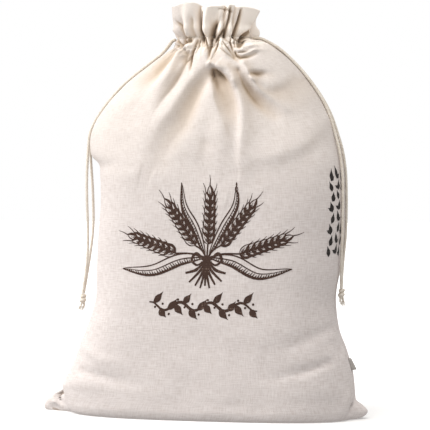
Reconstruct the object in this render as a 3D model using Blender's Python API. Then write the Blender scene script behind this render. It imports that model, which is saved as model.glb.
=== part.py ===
"""A linen bread bag, filled out and standing, its neck drawn in by two cords.

The front faces -Y, +X is to the right and +Z is up. The origin is on the surface that the
bag stands on, under its middle. Named sizes and tables are in millimetres; the solids are
made in metres.
"""

import math

import bmesh
import bpy
import numpy as np

MM = 0.001

# The cloth
FLAT_WIDTH = 300.0        # from side seam to side seam on the flat bag
CLOTH = 1.8               # thickness of a panel
SEAM_GAP = 0.3            # between two sewn pieces
FRONT = -1
BACK = 1

# The cords
CORD = 2.5                # diameter
CORD_STEP = 10.0          # between the points of a cord's tube

# How finely the panels are cut into faces
OUTLINE_POINTS = 1201
BASE_ROWS = 2
COLUMN_WIDTH = 9.0        # at most, on the flat bag

# Horizontal sections of the filled bag, from the floor to the ruffle's rim. The left and the
# right side have their own heights, because the bag sits unevenly. Depth is half of it,
# square is the exponent of the rounded outline, and gather is how deep the pleats are.
SECTION_COLUMNS = ("x_left", "z_left", "x_right", "z_right", "depth", "square", "gather")
SECTIONS = (
    (-118.0, 0.0, 130.0, 0.0, 44.5, 2.7, 0.0),
    (-121.0, 2.2, 133.5, 2.2, 47.5, 2.7, 0.0),
    (-123.0, 6.5, 135.0, 6.5, 49.5, 2.7, 0.0),
    (-123.5, 12.5, 136.0, 12.0, 50.0, 2.7, 0.0),
    (-123.3, 18.0, 136.0, 16.5, 50.3, 2.7, 0.0),
    (-122.8, 21.8, 135.5, 19.0, 50.6, 2.7, 0.0),
    (-122.3, 26.0, 135.0, 24.0, 50.8, 2.8, 0.0),
    (-118.5, 40.0, 133.3, 40.0, 51.3, 2.8, 0.0),
    (-112.5, 58.0, 128.5, 58.0, 52.0, 2.9, 0.0),
    (-104.5, 80.0, 121.0, 80.0, 53.0, 3.0, 0.0),
    (-97.0, 103.0, 118.5, 103.0, 53.8, 3.0, 0.0),
    (-95.5, 130.0, 122.5, 130.0, 54.4, 3.0, 0.0),
    (-94.0, 162.0, 126.0, 162.0, 54.6, 3.0, 0.0),
    (-92.0, 192.0, 127.0, 192.0, 54.4, 3.0, 0.0),
    (-92.5, 215.0, 126.5, 212.0, 53.8, 2.9, 0.0),
    (-94.0, 223.5, 125.5, 226.0, 53.0, 2.7, 0.0),
    (-101.0, 231.0, 123.5, 237.0, 52.2, 2.4, 0.0),
    (-103.5, 241.0, 120.0, 248.0, 51.0, 2.2, 0.0),
    (-102.5, 252.0, 116.3, 260.0, 49.3, 2.1, 0.0),
    (-97.5, 264.0, 110.5, 273.0, 47.0, 2.0, 0.2),
    (-89.0, 276.0, 103.5, 285.0, 44.0, 2.0, 0.4),
    (-79.0, 287.5, 95.0, 297.0, 40.5, 2.0, 0.7),
    (-67.5, 298.5, 85.5, 308.5, 37.0, 2.0, 1.0),
    (-54.0, 309.0, 75.0, 319.0, 33.0, 2.0, 1.5),
    (-41.5, 318.0, 64.5, 327.5, 29.0, 2.0, 2.2),
    (-31.0, 325.5, 54.5, 332.5, 26.0, 2.0, 2.8),
    (-25.0, 330.0, 46.5, 332.5, 24.0, 2.0, 3.2),
    (-23.5, 334.5, 43.5, 334.5, 23.0, 2.0, 3.3),
    (-23.5, 339.5, 43.5, 339.0, 23.2, 2.0, 3.6),
    (-23.5, 347.0, 46.0, 346.0, 24.5, 2.0, 4.6),
    (-24.5, 356.5, 49.0, 354.0, 26.5, 2.0, 5.6),
    (-25.5, 366.0, 51.5, 362.0, 28.5, 2.0, 6.2),
)

# The two lower corners stand out as flat ears, with the side seam along their top edge.
EAR_COLUMNS = ("reach", "middle", "half_height", "half_thickness")
EARS = {
    "left": (27.0, 6.5, 16.5, 8.0),
    "right": (15.0, 6.5, 12.5, 8.0),
}
EAR_ROUNDING = 5.0        # of the corner where the side seam meets the bottom seam

# Pleats across a panel, from its left seam to its right one: across is the share of the
# width, and out runs from -1, the bottom of a valley, to 1, the top of a ridge.
PLEAT_COLUMNS = ("across", "out")
PLEATS = {
    FRONT: (
        (0.0, 0.0), (0.08, 0.9), (0.2, 0.1), (0.29, 1.0), (0.425, -1.0), (0.475, 1.0),
        (0.54, -1.0), (0.6, 0.7), (0.65, -0.8), (0.7, 0.7), (0.75, -0.9), (0.84, 0.8),
        (0.89, 0.4), (0.94, 0.9), (1.0, 0.0),
    ),
    BACK: (
        (0.0, 0.0), (0.07, 0.8), (0.14, -0.7), (0.21, 0.8), (0.27, 0.2), (0.34, 1.0),
        (0.42, -1.0), (0.49, 0.9), (0.57, -0.8), (0.64, 0.8), (0.72, -0.9), (0.82, 1.0),
        (0.92, -0.4), (1.0, 0.0),
    ),
}

# Folds that run down over the shoulders, each along a line on the face of a panel, with
# +X to the right on both panels. A height below zero is a trough.
FOLD_COLUMNS = ("x_top", "z_top", "x_low", "z_low", "width", "height")
FOLDS = {
    FRONT: (
        (-24.0, 325.0, -66.0, 280.0, 8.0, -5.0),
        (-17.0, 322.0, -44.0, 274.0, 6.5, 4.5),
        (-11.0, 318.0, -33.0, 268.0, 6.0, -4.5),
        (12.0, 319.0, -45.0, 226.0, 8.0, 8.0),
        (18.0, 312.0, -28.0, 226.0, 7.0, -7.0),
        (20.0, 310.0, 34.0, 256.0, 9.0, -7.0),
        (15.0, 321.0, 49.0, 212.0, 6.0, 7.5),
        (40.0, 305.0, 84.0, 256.0, 6.5, -7.0),
        (46.0, 314.0, 92.0, 266.0, 7.0, 5.0),
        (52.0, 305.0, 76.0, 297.0, 8.0, -6.0),
        (128.0, 44.0, 84.0, 31.0, 5.0, -2.5),
        (-94.0, 226.0, -60.0, 222.0, 6.0, -2.0),
    ),
    BACK: (
        (-20.0, 322.0, -60.0, 262.0, 8.0, 5.0),
        (-8.0, 316.0, -36.0, 250.0, 8.0, -6.0),
        (4.0, 318.0, -8.0, 224.0, 8.0, 7.0),
        (18.0, 312.0, 22.0, 240.0, 8.0, -6.0),
        (28.0, 316.0, 52.0, 232.0, 7.5, 6.5),
        (42.0, 308.0, 80.0, 254.0, 7.5, -6.0),
        (-122.0, 40.0, -82.0, 30.0, 5.0, -2.0),
    ),
}
FOLDS_END = 0.06          # share of the width beside a seam in which the folds die out
FOLDS_FLOOR = 30.0        # height above the floor in which they die out
FOLD_SPREAD = (0.7, 1.3)  # of a fold's width, at its upper and its lower end
FOLD_RISEN = 0.09         # share of its length where a fold has its whole height
FOLD_SINKS = 0.45         # share of its length where it starts to sink again
FOLD_SINKING = 0.6        # share of its length in which it sinks
STEEPEST = 0.5            # least level part of the outward direction, at the shoulders

# Routes of the four cord ends, from the casing over the shoulder and down to the knot.
CORD_ROUTES = {
    "cord_left_front": (
        (-25.3, -1.7, 336.2), (-27.8, -1.8, 335.6), (-31.0, -1.8, 331.8), (-36.2, -1.8, 325.4),
        (-45.9, -1.8, 317.7), (-57.9, -1.8, 308.8), (-70.7, -1.8, 298.7), (-83.2, -1.8, 286.3),
        (-93.0, -1.8, 274.3), (-100.4, -2.0, 262.8), (-104.8, -2.5, 251.9), (-105.9, -3.2, 241.0),
        (-106.4, -4.6, 228.0), (-106.7, -6.2, 208.0), (-106.5, -6.0, 188.0),
        (-106.2, -4.4, 168.0), (-106.7, -2.8, 150.0), (-108.0, -2.0, 134.0),
        (-110.0, -1.7, 119.0), (-112.0, -1.6, 107.0),
    ),
    "cord_left_back": (
        (-25.3, 1.7, 336.2), (-28.0, 1.8, 335.4), (-31.6, 1.8, 331.2), (-36.8, 1.8, 325.4),
        (-46.2, 1.8, 318.1), (-58.1, 1.8, 309.0), (-70.8, 1.8, 298.8), (-83.2, 1.8, 286.3),
        (-93.0, 1.8, 274.3), (-100.4, 1.8, 262.9), (-104.8, 1.9, 251.9), (-105.7, 2.2, 241.0),
        (-105.4, 3.0, 228.0), (-104.4, 4.2, 208.0), (-103.8, 5.0, 188.0),
        (-103.7, 4.6, 168.0), (-105.2, 3.2, 150.0), (-107.4, 2.2, 134.0),
        (-109.8, 1.7, 119.0), (-112.0, 1.6, 107.0),
    ),
    "cord_right_front": (
        (45.4, -1.7, 336.6), (48.4, -1.9, 336.9), (53.2, -2.1, 335.8), (59.0, -2.4, 333.2),
        (68.4, -2.7, 327.6), (78.9, -2.9, 318.6), (89.4, -3.2, 307.4), (99.1, -3.8, 295.1),
        (108.1, -4.8, 281.4), (114.9, -6.8, 267.4), (119.9, -9.4, 252.4), (123.9, -12.0, 237.4),
        (126.9, -14.6, 219.8), (127.8, -16.6, 200.0), (127.7, -16.6, 180.0),
        (127.1, -14.8, 160.0), (126.0, -11.0, 143.0), (125.0, -5.0, 128.0),
        (124.6, -1.4, 120.5), (124.5, -0.6, 115.2),
    ),
    "cord_right_back": (
        (45.4, 1.7, 336.6), (48.4, 1.7, 336.7), (53.2, 1.6, 335.5), (58.8, 1.4, 333.0),
        (68.2, 1.0, 327.4), (78.7, 0.7, 318.4), (89.4, 0.3, 307.4), (99.2, 0.0, 295.2),
        (108.3, -0.4, 281.6), (115.5, -0.6, 267.7), (120.8, -0.7, 252.8), (125.2, -0.6, 237.8),
        (128.1, -0.4, 220.0), (128.9, 0.2, 200.0), (128.8, 0.8, 180.0),
        (128.0, 1.4, 160.0), (126.3, 2.0, 143.0), (125.0, 2.5, 128.0),
        (124.6, 2.7, 120.5), (124.5, 2.8, 115.2),
    ),
}

# The knots under the two cords: the middle of the top, and how far the tails swing aside.
KNOT_COLUMNS = ("x", "y", "z_top", "swing")
KNOTS = {
    "knot_left": (-112.2, 0.0, 106.4, -2.5),
    "knot_right": (124.5, 1.1, 114.6, 1.0),
}
KNOT_RING_COLUMNS = ("drop", "half_x", "half_y")
KNOT_RINGS = (
    (0.0, 1.8, 3.1),
    (1.2, 3.0, 3.9),
    (3.0, 3.8, 4.3),
    (5.2, 3.8, 4.0),
    (7.0, 2.9, 3.1),
    (8.4, 2.0, 2.2),
    (10.0, 2.4, 2.6),
)
KNOT_SIDES = 12
KNOT_RIDGE = 0.1          # of the radius, where the cord winds over itself
TAILS = 6
TAIL_LENGTH = 7.5

# The tab in the right side seam: how far it stands out at its top and its bottom edge.
TAB_COLUMNS = ("z", "seam_x", "stands_out")
TAB_EDGES = (
    (52.0, 130.45, 3.5),
    (42.0, 133.1, 6.5),
)
TAB_THICKNESS = 1.6


def named_rows(names, table):
    """The rows of a table as dictionaries, one for each row."""
    return [dict(zip(names, row)) for row in table]


def ease(share):
    """A smooth step from 0 to 1."""
    share = np.clip(share, 0.0, 1.0)
    return share * share * (3.0 - 2.0 * share)


def pleat_wave(side, across):
    """How far out the pleats stand at each share of a panel's width, from -1 to 1."""
    places = np.array([row["across"] for row in named_rows(PLEAT_COLUMNS, PLEATS[side])])
    outs = np.array([row["out"] for row in named_rows(PLEAT_COLUMNS, PLEATS[side])])
    index = np.clip(np.searchsorted(places, across, side="right") - 1, 0, len(places) - 2)
    part = (across - places[index]) / (places[index + 1] - places[index])
    return outs[index] + (outs[index + 1] - outs[index]) * ease(part)


def fold_height(side, x, z):
    """The height of all shoulder folds together at points on the face of a panel."""
    total = np.zeros_like(x)
    for fold in named_rows(FOLD_COLUMNS, FOLDS[side]):
        along_x = fold["x_low"] - fold["x_top"]
        along_z = fold["z_low"] - fold["z_top"]
        length = math.hypot(along_x, along_z)
        from_x = x - fold["x_top"]
        from_z = z - fold["z_top"]
        share = (from_x * along_x + from_z * along_z) / length**2
        distance = (from_x * along_z - from_z * along_x) / length
        width = fold["width"] * np.interp(share, (0.0, 1.0), FOLD_SPREAD)
        rising = ease(0.4 + 0.6 * share / FOLD_RISEN)
        fade = rising * (1.0 - ease((share - FOLD_SINKS) / FOLD_SINKING))
        total += fold["height"] * fade * np.exp(-((distance / width) ** 2))
    return total


def ear_reach(name, height, inset):
    """How far an ear stands out from the side of the bag at a height."""
    ear = dict(zip(EAR_COLUMNS, EARS[name]))
    offset = (height - ear["middle"]) / (ear["half_height"] - inset)
    return ear["reach"] * math.sqrt(max(1.0 - offset**2, 0.0))


def section_outline(section, inset, height):
    """Half of a section, dense, from the left seam over the face to the right seam."""
    turn = np.linspace(0.0, math.pi, OUTLINE_POINTS)
    power = 2.0 / section["square"]
    middle = (section["x_left"] + section["x_right"]) / 2.0
    half_width = (section["x_right"] - section["x_left"]) / 2.0 - inset
    half_depth = section["depth"] - inset
    x = middle - half_width * np.sign(np.cos(turn)) * np.abs(np.cos(turn)) ** power
    y = half_depth * np.abs(np.sin(turn)) ** power
    for name, outward in (("left", -1.0), ("right", 1.0)):
        thickness = EARS[name][EAR_COLUMNS.index("half_thickness")] - inset
        reach = ear_reach(name, height, inset)
        stands_out = reach * np.exp(-((y / thickness) ** 2))
        x += np.where(outward * (x - middle) > 0.0, outward * stands_out, 0.0)
    return x, y


def spread(x, y, across):
    """Points at equal shares of an outline's length, and the outward direction at each."""
    steps = np.hypot(np.diff(x), np.diff(y))
    length = np.concatenate(([0.0], np.cumsum(steps)))
    share = length / length[-1]
    along_x = np.gradient(x, length + np.arange(len(length)) * 1e-9)
    along_y = np.gradient(y, length + np.arange(len(length)) * 1e-9)
    size = np.hypot(along_x, along_y)
    out_x = np.interp(across, share, -along_y / size)
    out_y = np.interp(across, share, along_x / size)
    return np.interp(across, share, x), np.interp(across, share, y), out_x, out_y


def section_slopes():
    """The horizontal and upward parts of the outward direction at each section."""
    rows = named_rows(SECTION_COLUMNS, SECTIONS)
    sizes = np.array([(row["x_right"] - row["x_left"]) / 4.0 + row["depth"] / 2.0 for row in rows])
    heights = np.array([(row["z_left"] + row["z_right"]) / 2.0 for row in rows])
    growth = np.gradient(sizes)
    rise = np.gradient(heights)
    length = np.hypot(growth, rise)
    return rise / length, -growth / length


def panel_columns(side):
    """Where the columns of a panel stand, as shares of its width: evenly in each pleat."""
    places = [row["across"] for row in named_rows(PLEAT_COLUMNS, PLEATS[side])]
    columns = [0.0]
    for start, end in zip(places, places[1:]):
        count = math.ceil((end - start) * FLAT_WIDTH / COLUMN_WIDTH)
        columns += [start + (end - start) * (step + 1) / count for step in range(count)]
    return np.array(columns)


def panel_face(side, inset):
    """One face of a panel as rows of points, from the bottom seam to the ruffle's rim."""
    across = panel_columns(side)
    sections = named_rows(SECTION_COLUMNS, SECTIONS)
    level, upward = section_slopes()
    faces = []
    for index, section in enumerate(sections):
        lift = -inset * upward[index] if 0 < index < len(sections) - 1 else 0.0
        height = (section["z_left"] + section["z_right"]) / 2.0
        x, y = section_outline(section, inset * max(level[index], STEEPEST), height + lift)
        x, y, out_x, out_y = spread(x, y, across)
        share = (x - section["x_left"]) / (section["x_right"] - section["x_left"])
        z = section["z_left"] + (section["z_right"] - section["z_left"]) * np.clip(share, 0, 1)
        by_seam = np.minimum(across, 1.0 - across) / FOLDS_END
        out = section["gather"] * pleat_wave(side, across)
        out += fold_height(side, x, z) * ease(by_seam) * ease(height / FOLDS_FLOOR)
        points = np.stack((x + out * out_x, y + out * out_y, np.maximum(z + lift, inset)), axis=1)
        faces.append(points)
    floor = faces[0]
    seam_left = floor[0, 0] + EAR_ROUNDING
    seam_right = floor[-1, 0] - EAR_ROUNDING
    seam = np.stack((seam_left + (seam_right - seam_left) * across,
                     np.zeros(len(across)), np.full(len(across), inset)), axis=1)
    base = [seam + (floor - seam) * row / BASE_ROWS for row in range(BASE_ROWS)]
    face = np.array(base + faces)
    face[:, :, 1] = side * (face[:, :, 1] + SEAM_GAP / 2.0)
    return face


def material(name, colour, roughness):
    """A plain Principled material."""
    made = bpy.data.materials.new(name)
    made.use_nodes = True
    shader = made.node_tree.nodes["Principled BSDF"]
    shader.inputs["Base Color"].default_value = (*colour, 1.0)
    shader.inputs["Roughness"].default_value = roughness
    return made


def add_solid(name, points, faces, finish):
    """A named object from points in millimetres and the faces between them, facing out."""
    mesh = bpy.data.meshes.new(name)
    mesh.from_pydata([tuple(point * MM for point in place) for place in points], [], faces)
    form = bmesh.new()
    form.from_mesh(mesh)
    bmesh.ops.recalc_face_normals(form, faces=form.faces)
    form.to_mesh(mesh)
    form.free()
    made = bpy.data.objects.new(name, mesh)
    mesh.materials.append(finish)
    bpy.context.scene.collection.objects.link(made)
    return made


def add_panel(name, side, finish):
    """A panel: its outer and inner face, joined along the seams and the rim."""
    outer = panel_face(side, 0.0)
    inner = panel_face(side, CLOTH)
    rows, columns = outer.shape[:2]
    points = np.concatenate((outer.reshape(-1, 3), inner.reshape(-1, 3)))
    start = rows * columns
    faces = []
    for row in range(rows - 1):
        for column in range(columns - 1):
            corner = row * columns + column
            quad = (corner, corner + 1, corner + columns + 1, corner + columns)
            faces.append(quad)
            faces.append(tuple(start + place for place in reversed(quad)))
    rim = list(range(columns))
    rim += [row * columns + columns - 1 for row in range(1, rows)]
    rim += [(rows - 1) * columns + column for column in range(columns - 2, -1, -1)]
    rim += [row * columns for row in range(rows - 2, 0, -1)]
    for place, following in zip(rim, rim[1:] + rim[:1]):
        faces.append((following, place, start + place, start + following))
    return add_solid(name, points, faces, finish)


def smooth_route(points):
    """Points at even steps on a smooth curve through the points of a route."""
    route = np.array(points)
    steps = np.linalg.norm(np.diff(route, axis=0), axis=1)
    place = np.concatenate(([0.0], np.cumsum(steps)))
    slope = np.gradient(route, place, axis=0)
    count = max(2, round(place[-1] / CORD_STEP) + 1)
    wanted = np.linspace(0.0, place[-1], count)
    index = np.clip(np.searchsorted(place, wanted, side="right") - 1, 0, len(place) - 2)
    span = steps[index][:, None]
    part = ((wanted - place[index]) / steps[index])[:, None]
    return (
        (2 * part**3 - 3 * part**2 + 1) * route[index]
        + (part**3 - 2 * part**2 + part) * span * slope[index]
        + (3 * part**2 - 2 * part**3) * route[index + 1]
        + (part**3 - part**2) * span * slope[index + 1]
    )


def add_cord(name, finish):
    """One end of a drawcord as a round tube along its route."""
    points = smooth_route(CORD_ROUTES[name])
    curve = bpy.data.curves.new(name, "CURVE")
    curve.dimensions = "3D"
    curve.bevel_depth = CORD / 2.0 * MM
    curve.bevel_resolution = 2
    curve.use_fill_caps = True
    spline = curve.splines.new("POLY")
    spline.points.add(len(points) - 1)
    for place, point in zip(spline.points, points):
        place.co = (*(point * MM), 1.0)
    made = bpy.data.objects.new(name, curve)
    curve.materials.append(finish)
    bpy.context.scene.collection.objects.link(made)


def knot_ring(knot, row):
    """The points of one ring of a knot, with the ridges where the cord winds over itself."""
    turn = np.arange(KNOT_SIDES) * 2.0 * math.pi / KNOT_SIDES
    ridge = 1.0 + KNOT_RIDGE * np.cos(3.0 * turn + row["drop"]) * (row["drop"] > 0.0)
    swing = knot["swing"] * (row["drop"] / 20.0) ** 2
    return np.stack((knot["x"] + swing + row["half_x"] * ridge * np.cos(turn),
                     knot["y"] + row["half_y"] * ridge * np.sin(turn),
                     np.full(KNOT_SIDES, knot["z_top"] - row["drop"])), axis=1)


def add_knot(name, finish):
    """An overhand knot in two cord ends, with the frayed tails below it in one piece."""
    knot = dict(zip(KNOT_COLUMNS, KNOTS[name]))
    rings = [knot_ring(knot, row) for row in named_rows(KNOT_RING_COLUMNS, KNOT_RINGS)]
    points = [point for ring in rings for point in ring]
    faces = [tuple(range(KNOT_SIDES))]
    for ring in range(len(rings) - 1):
        for side in range(KNOT_SIDES):
            start = ring * KNOT_SIDES
            following = start + (side + 1) % KNOT_SIDES
            faces.append((start + side, following, following + KNOT_SIDES,
                          start + side + KNOT_SIDES))
    last = (len(rings) - 1) * KNOT_SIDES
    centre = len(points)
    points.append(rings[-1].mean(axis=0))
    for tail in range(TAILS):
        first = tail * KNOT_SIDES // TAILS
        root = [centre] + [last + (first + step) % KNOT_SIDES for step in range(3)]
        corners = np.array([points[corner] for corner in root])
        outward = corners.mean(axis=0) - points[centre]
        length = TAIL_LENGTH * (0.8 + 0.2 * math.cos(2.4 * tail))
        for drop, scale in ((0.0, 0.7), (0.5, 0.6), (1.0, 0.2)):
            shift = outward * 1.5 * drop + np.array((knot["swing"] * drop, 0.0, -length * drop))
            middle = corners.mean(axis=0)
            moved = middle + (corners - middle) * scale + shift
            ring = list(range(len(points), len(points) + len(root)))
            points += list(moved)
            for place in range(len(root)):
                after = (place + 1) % len(root)
                faces.append((root[place], root[after], ring[after], ring[place]))
            root = ring
        faces.append(tuple(root))
    add_solid(name, points, faces, finish)


def add_tab(finish):
    """The folded tab that is caught in the right side seam."""
    points = []
    for edge in named_rows(TAB_COLUMNS, TAB_EDGES):
        fold_x = edge["seam_x"] + edge["stands_out"]
        for x, half in ((edge["seam_x"], 0.5), (fold_x - 1.0, 0.5), (fold_x, 0.22)):
            points += [(x, -half * TAB_THICKNESS, edge["z"]), (x, half * TAB_THICKNESS, edge["z"])]
    outline = (0, 2, 4, 5, 3, 1)
    faces = [outline, tuple(6 + corner for corner in reversed(outline))]
    for start, end in zip(outline, outline[1:] + outline[:1]):
        faces.append((start, end, end + 6, start + 6))
    add_solid("seam_tab", np.array(points), faces, finish)


def main():
    """Clear the scene and build every piece of the bag."""
    for old in list(bpy.data.objects):
        bpy.data.objects.remove(old, do_unlink=True)
    linen = material("linen", (0.78, 0.72, 0.65), 0.9)
    cotton = material("cotton_cord", (0.74, 0.68, 0.58), 0.85)
    tape = material("cotton_tape", (0.8, 0.76, 0.7), 0.8)
    add_panel("front_panel", FRONT, linen)
    add_panel("back_panel", BACK, linen)
    for name in CORD_ROUTES:
        add_cord(name, cotton)
    for name in KNOTS:
        add_knot(name, cotton)
    add_tab(tape)


main()
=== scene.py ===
# %% [markdown]
# # A linen bread bag with gathered neck and knotted drawcords
# The real bag is two rectangles of unbleached linen, sewn down the sides and along the
# bottom. The top edge is folded over and stitched twice, which leaves a frilled heading above
# a narrow casing, and two cords run through the casing. Filled and pulled shut it stands up
# by itself: a rounded box below, soft shoulders, a tight neck and two small ears at the floor.
#
# A reader who is learning Blender can follow it as a sewing plan. The cords come first,
# because their length is a fixed fact. Then the cloth is laid over named sections, row by
# row, and last come threads, stitches and ink. All tables are in millimetres; everything that
# Blender gets is in metres.

# %% The frame that all pieces share
import math

import bpy
import numpy as np
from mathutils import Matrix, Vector, noise


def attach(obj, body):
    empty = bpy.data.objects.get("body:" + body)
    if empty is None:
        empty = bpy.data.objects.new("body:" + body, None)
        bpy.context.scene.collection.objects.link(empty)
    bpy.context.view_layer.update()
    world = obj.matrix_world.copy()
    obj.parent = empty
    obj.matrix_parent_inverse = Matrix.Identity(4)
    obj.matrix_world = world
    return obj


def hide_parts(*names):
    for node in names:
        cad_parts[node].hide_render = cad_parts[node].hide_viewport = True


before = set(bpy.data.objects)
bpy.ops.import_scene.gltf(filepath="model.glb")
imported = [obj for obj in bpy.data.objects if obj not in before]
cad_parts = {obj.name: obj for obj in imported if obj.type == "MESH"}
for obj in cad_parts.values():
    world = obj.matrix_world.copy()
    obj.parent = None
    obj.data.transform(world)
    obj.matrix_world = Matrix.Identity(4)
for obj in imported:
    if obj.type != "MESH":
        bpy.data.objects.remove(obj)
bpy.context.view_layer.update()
MM = 0.001
print("solids:", sorted(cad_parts))

# %% [markdown]
# ## Small helpers for tables
# Soft things are easiest to steer with a few numbers at chosen places and a smooth curve
# between them. `named` and `rows` give a table's columns their names, row by row or as whole
# columns, and `follow` is a cubic curve that passes through every value of a column. Blender's
# own curves could do the same, but a plain function also works for widths, depths and heights.

# %% Tables, steps and smooth curves
def named(columns, table):
    """The rows of a table, each with its named values."""
    return [dict(zip(columns, row)) for row in table]


def rows(columns, table):
    """A table as one array for each named column."""
    return dict(zip(columns, np.array(table, dtype=float).T))


def ease(share):
    """A smooth step from 0 to 1."""
    share = np.clip(share, 0.0, 1.0)
    return share * share * (3.0 - 2.0 * share)


def follow(places, values, wanted):
    """Smooth values at the wanted places, through the values at a table's own places."""
    slopes = np.gradient(values, places)
    index = np.clip(np.searchsorted(places, wanted, side="right") - 1, 0, len(places) - 2)
    span = places[index + 1] - places[index]
    part = (wanted - places[index]) / span
    return (
        (2 * part**3 - 3 * part**2 + 1) * values[index]
        + (part**3 - 2 * part**2 + part) * span * slopes[index]
        + (3 * part**2 - 2 * part**3) * values[index + 1]
        + (part**3 - part**2) * span * slopes[index + 1]
    )


print("halfway of a smooth step:", float(ease(0.5)))

# %% [markdown]
# ## The camera
# A small thing seen from about a metre and a half through a long lens looks calm: its
# upright edges stay parallel. The camera stands a little to the bag's right, level with the
# middle of the cloth, and looks almost straight ahead.

# %% Camera
CAMERA_TURN = math.radians(12.0)      # towards +X from straight in front
CAMERA_AWAY = 1.5
CAMERA_HEIGHT = 0.215
LOOKS_AT = Vector((0.0102, 0.0022, 0.179))
LENS, FILM_WIDE = 140.0, 36.0         # millimetres

camera = bpy.data.objects.new("camera", bpy.data.cameras.new("camera"))
camera.data.lens = LENS
camera.data.sensor_width = FILM_WIDE
camera.location = (CAMERA_AWAY * math.sin(CAMERA_TURN), -CAMERA_AWAY * math.cos(CAMERA_TURN),
                   CAMERA_HEIGHT)
camera.rotation_euler = (LOOKS_AT - camera.location).to_track_quat("-Z", "Y").to_euler()
bpy.context.scene.collection.objects.link(camera)
bpy.context.scene.camera = camera
print("camera tilt, degrees:", round(math.degrees(camera.rotation_euler.x) - 90.0, 2))

# %% [markdown]
# ## Light and floor
# Pale cloth shows its folds only when light comes from one side. A soft sun stands low at the
# left, like a window; a wider and warmer one stands high and in front, like a bright ceiling;
# and a white room, brighter above and at the left, does the rest. The colours are shown as
# they are, without a film look, so that the cream stays cream. The floor is a plain pale sheet
# that belongs to the stage and not to the bag. It takes shadows but throws no light back,
# because light from below would flatten the folds of the lower half.

# %% The white room
BRIGHT_SIDE = (-0.35, -0.25, 0.90)
DOME_LIGHT = (0.62, 0.95)             # away from the bright side and towards it
DOME_COLOUR = (1.0, 0.99, 0.98, 1.0)
PAPER_COLOUR = (1.0, 1.0, 1.0, 1.0)   # what the camera sees behind everything

bpy.context.scene.view_settings.view_transform = "Standard"
room = bpy.data.worlds.new("white room")
room.use_nodes = True
nodes, links = room.node_tree.nodes, room.node_tree.links
towards = nodes.new("ShaderNodeTexCoord")
facing = nodes.new("ShaderNodeVectorMath")
facing.operation = "DOT_PRODUCT"
facing.inputs[1].default_value = BRIGHT_SIDE
links.new(towards.outputs["Generated"], facing.inputs[0])
dome = nodes.new("ShaderNodeMapRange")
dome.inputs["From Min"].default_value = -1.0
dome.inputs["To Min"].default_value, dome.inputs["To Max"].default_value = DOME_LIGHT
links.new(facing.outputs["Value"], dome.inputs["Value"])
room_light = nodes["Background"]
room_light.inputs["Color"].default_value = DOME_COLOUR
links.new(dome.outputs[0], room_light.inputs["Strength"])
paper = nodes.new("ShaderNodeBackground")
paper.inputs["Color"].default_value = PAPER_COLOUR
sight = nodes.new("ShaderNodeLightPath")
either = nodes.new("ShaderNodeMixShader")
links.new(sight.outputs["Is Camera Ray"], either.inputs[0])
links.new(room_light.outputs[0], either.inputs[1])
links.new(paper.outputs[0], either.inputs[2])
links.new(either.outputs[0], nodes["World Output"].inputs[0])
bpy.context.scene.world = room
print("room light:", DOME_LIGHT)

# %% The two lights
LIGHT_COLUMNS = ("name", "comes_from", "strength", "soft", "colour")
LIGHTS = (
    ("window light", (-0.66, -0.24, 0.40), 2.2, 24.0, (1.0, 0.985, 0.975)),
    ("ceiling light", (-0.10, -0.34, 1.0), 1.5, 50.0, (1.0, 0.98, 0.94)),
)
for facts in named(LIGHT_COLUMNS, LIGHTS):
    lamp = bpy.data.objects.new(facts["name"], bpy.data.lights.new(facts["name"], "SUN"))
    lamp.data.energy = facts["strength"]
    lamp.data.angle = math.radians(facts["soft"])
    lamp.data.color = facts["colour"]
    lamp.location = facts["comes_from"]
    lamp.rotation_euler = lamp.location.to_track_quat("Z", "Y").to_euler()
    bpy.context.scene.collection.objects.link(lamp)
print("lights:", [row[0] for row in LIGHTS])

# %% The floor
FLOOR_CORNERS = ((-4, -4, 0), (4, -4, 0), (4, 6, 0), (-4, 6, 0))
FLOOR_COLOUR = (0.93, 0.93, 0.93, 1.0)
FLOOR_ROUGHNESS = 0.9

floor_mesh = bpy.data.meshes.new("floor")
floor_mesh.from_pydata(FLOOR_CORNERS, [], [(0, 1, 2, 3)])
floor = bpy.data.objects.new("floor", floor_mesh)
bpy.context.scene.collection.objects.link(floor)
floor_paint = bpy.data.materials.new("pale floor")
floor_paint.use_nodes = True
floor_shader = floor_paint.node_tree.nodes["Principled BSDF"]
floor_shader.inputs["Base Color"].default_value = FLOOR_COLOUR
floor_shader.inputs["Roughness"].default_value = FLOOR_ROUGHNESS
floor_mesh.materials.append(floor_paint)
floor.visible_diffuse = False
print("floor corners:", len(FLOOR_CORNERS))

# %% [markdown]
# ## Twisted cord
# The drawcords are three-ply cotton, 2.5 mm thick. A round tube with a bump would do from
# afar, but up close the plies make the edge of the cord wavy, so here they are real: the
# cross-section has three lobes, and each ring along the cord is turned a little further. The
# turn starts from a frame that is carried along the curve without spinning.

# %% Points along a smooth route
def way_along(points):
    """How far along a chain each of its points lies."""
    return np.concatenate(([0.0], np.cumsum(np.linalg.norm(np.diff(points, axis=0), axis=1))))


def smooth_route(points, step):
    """Points at even steps on a smooth curve through the given points."""
    points = np.array(points, dtype=float)
    place = way_along(points)
    wanted = np.linspace(0.0, place[-1], max(2, round(place[-1] / step) + 1))
    return np.stack([follow(place, column, wanted) for column in points.T], axis=1)


def carried_frames(points):
    """The direction of a chain at each point, and two sideways directions that don't spin."""
    ahead = np.gradient(points, axis=0)
    ahead /= np.linalg.norm(ahead, axis=1)[:, None]
    side = np.cross(ahead[0], (0.31, 0.87, 0.39))     # any direction that no route takes
    sides = []
    for direction in ahead:
        side = side - direction * np.dot(side, direction)
        side /= np.linalg.norm(side)
        sides.append(side)
    return np.array(sides), np.cross(ahead, sides)


print("a straight metre is", way_along(smooth_route([(0, 0, 0), (0, 0, 1)], 0.1))[-1], "m long")

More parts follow.
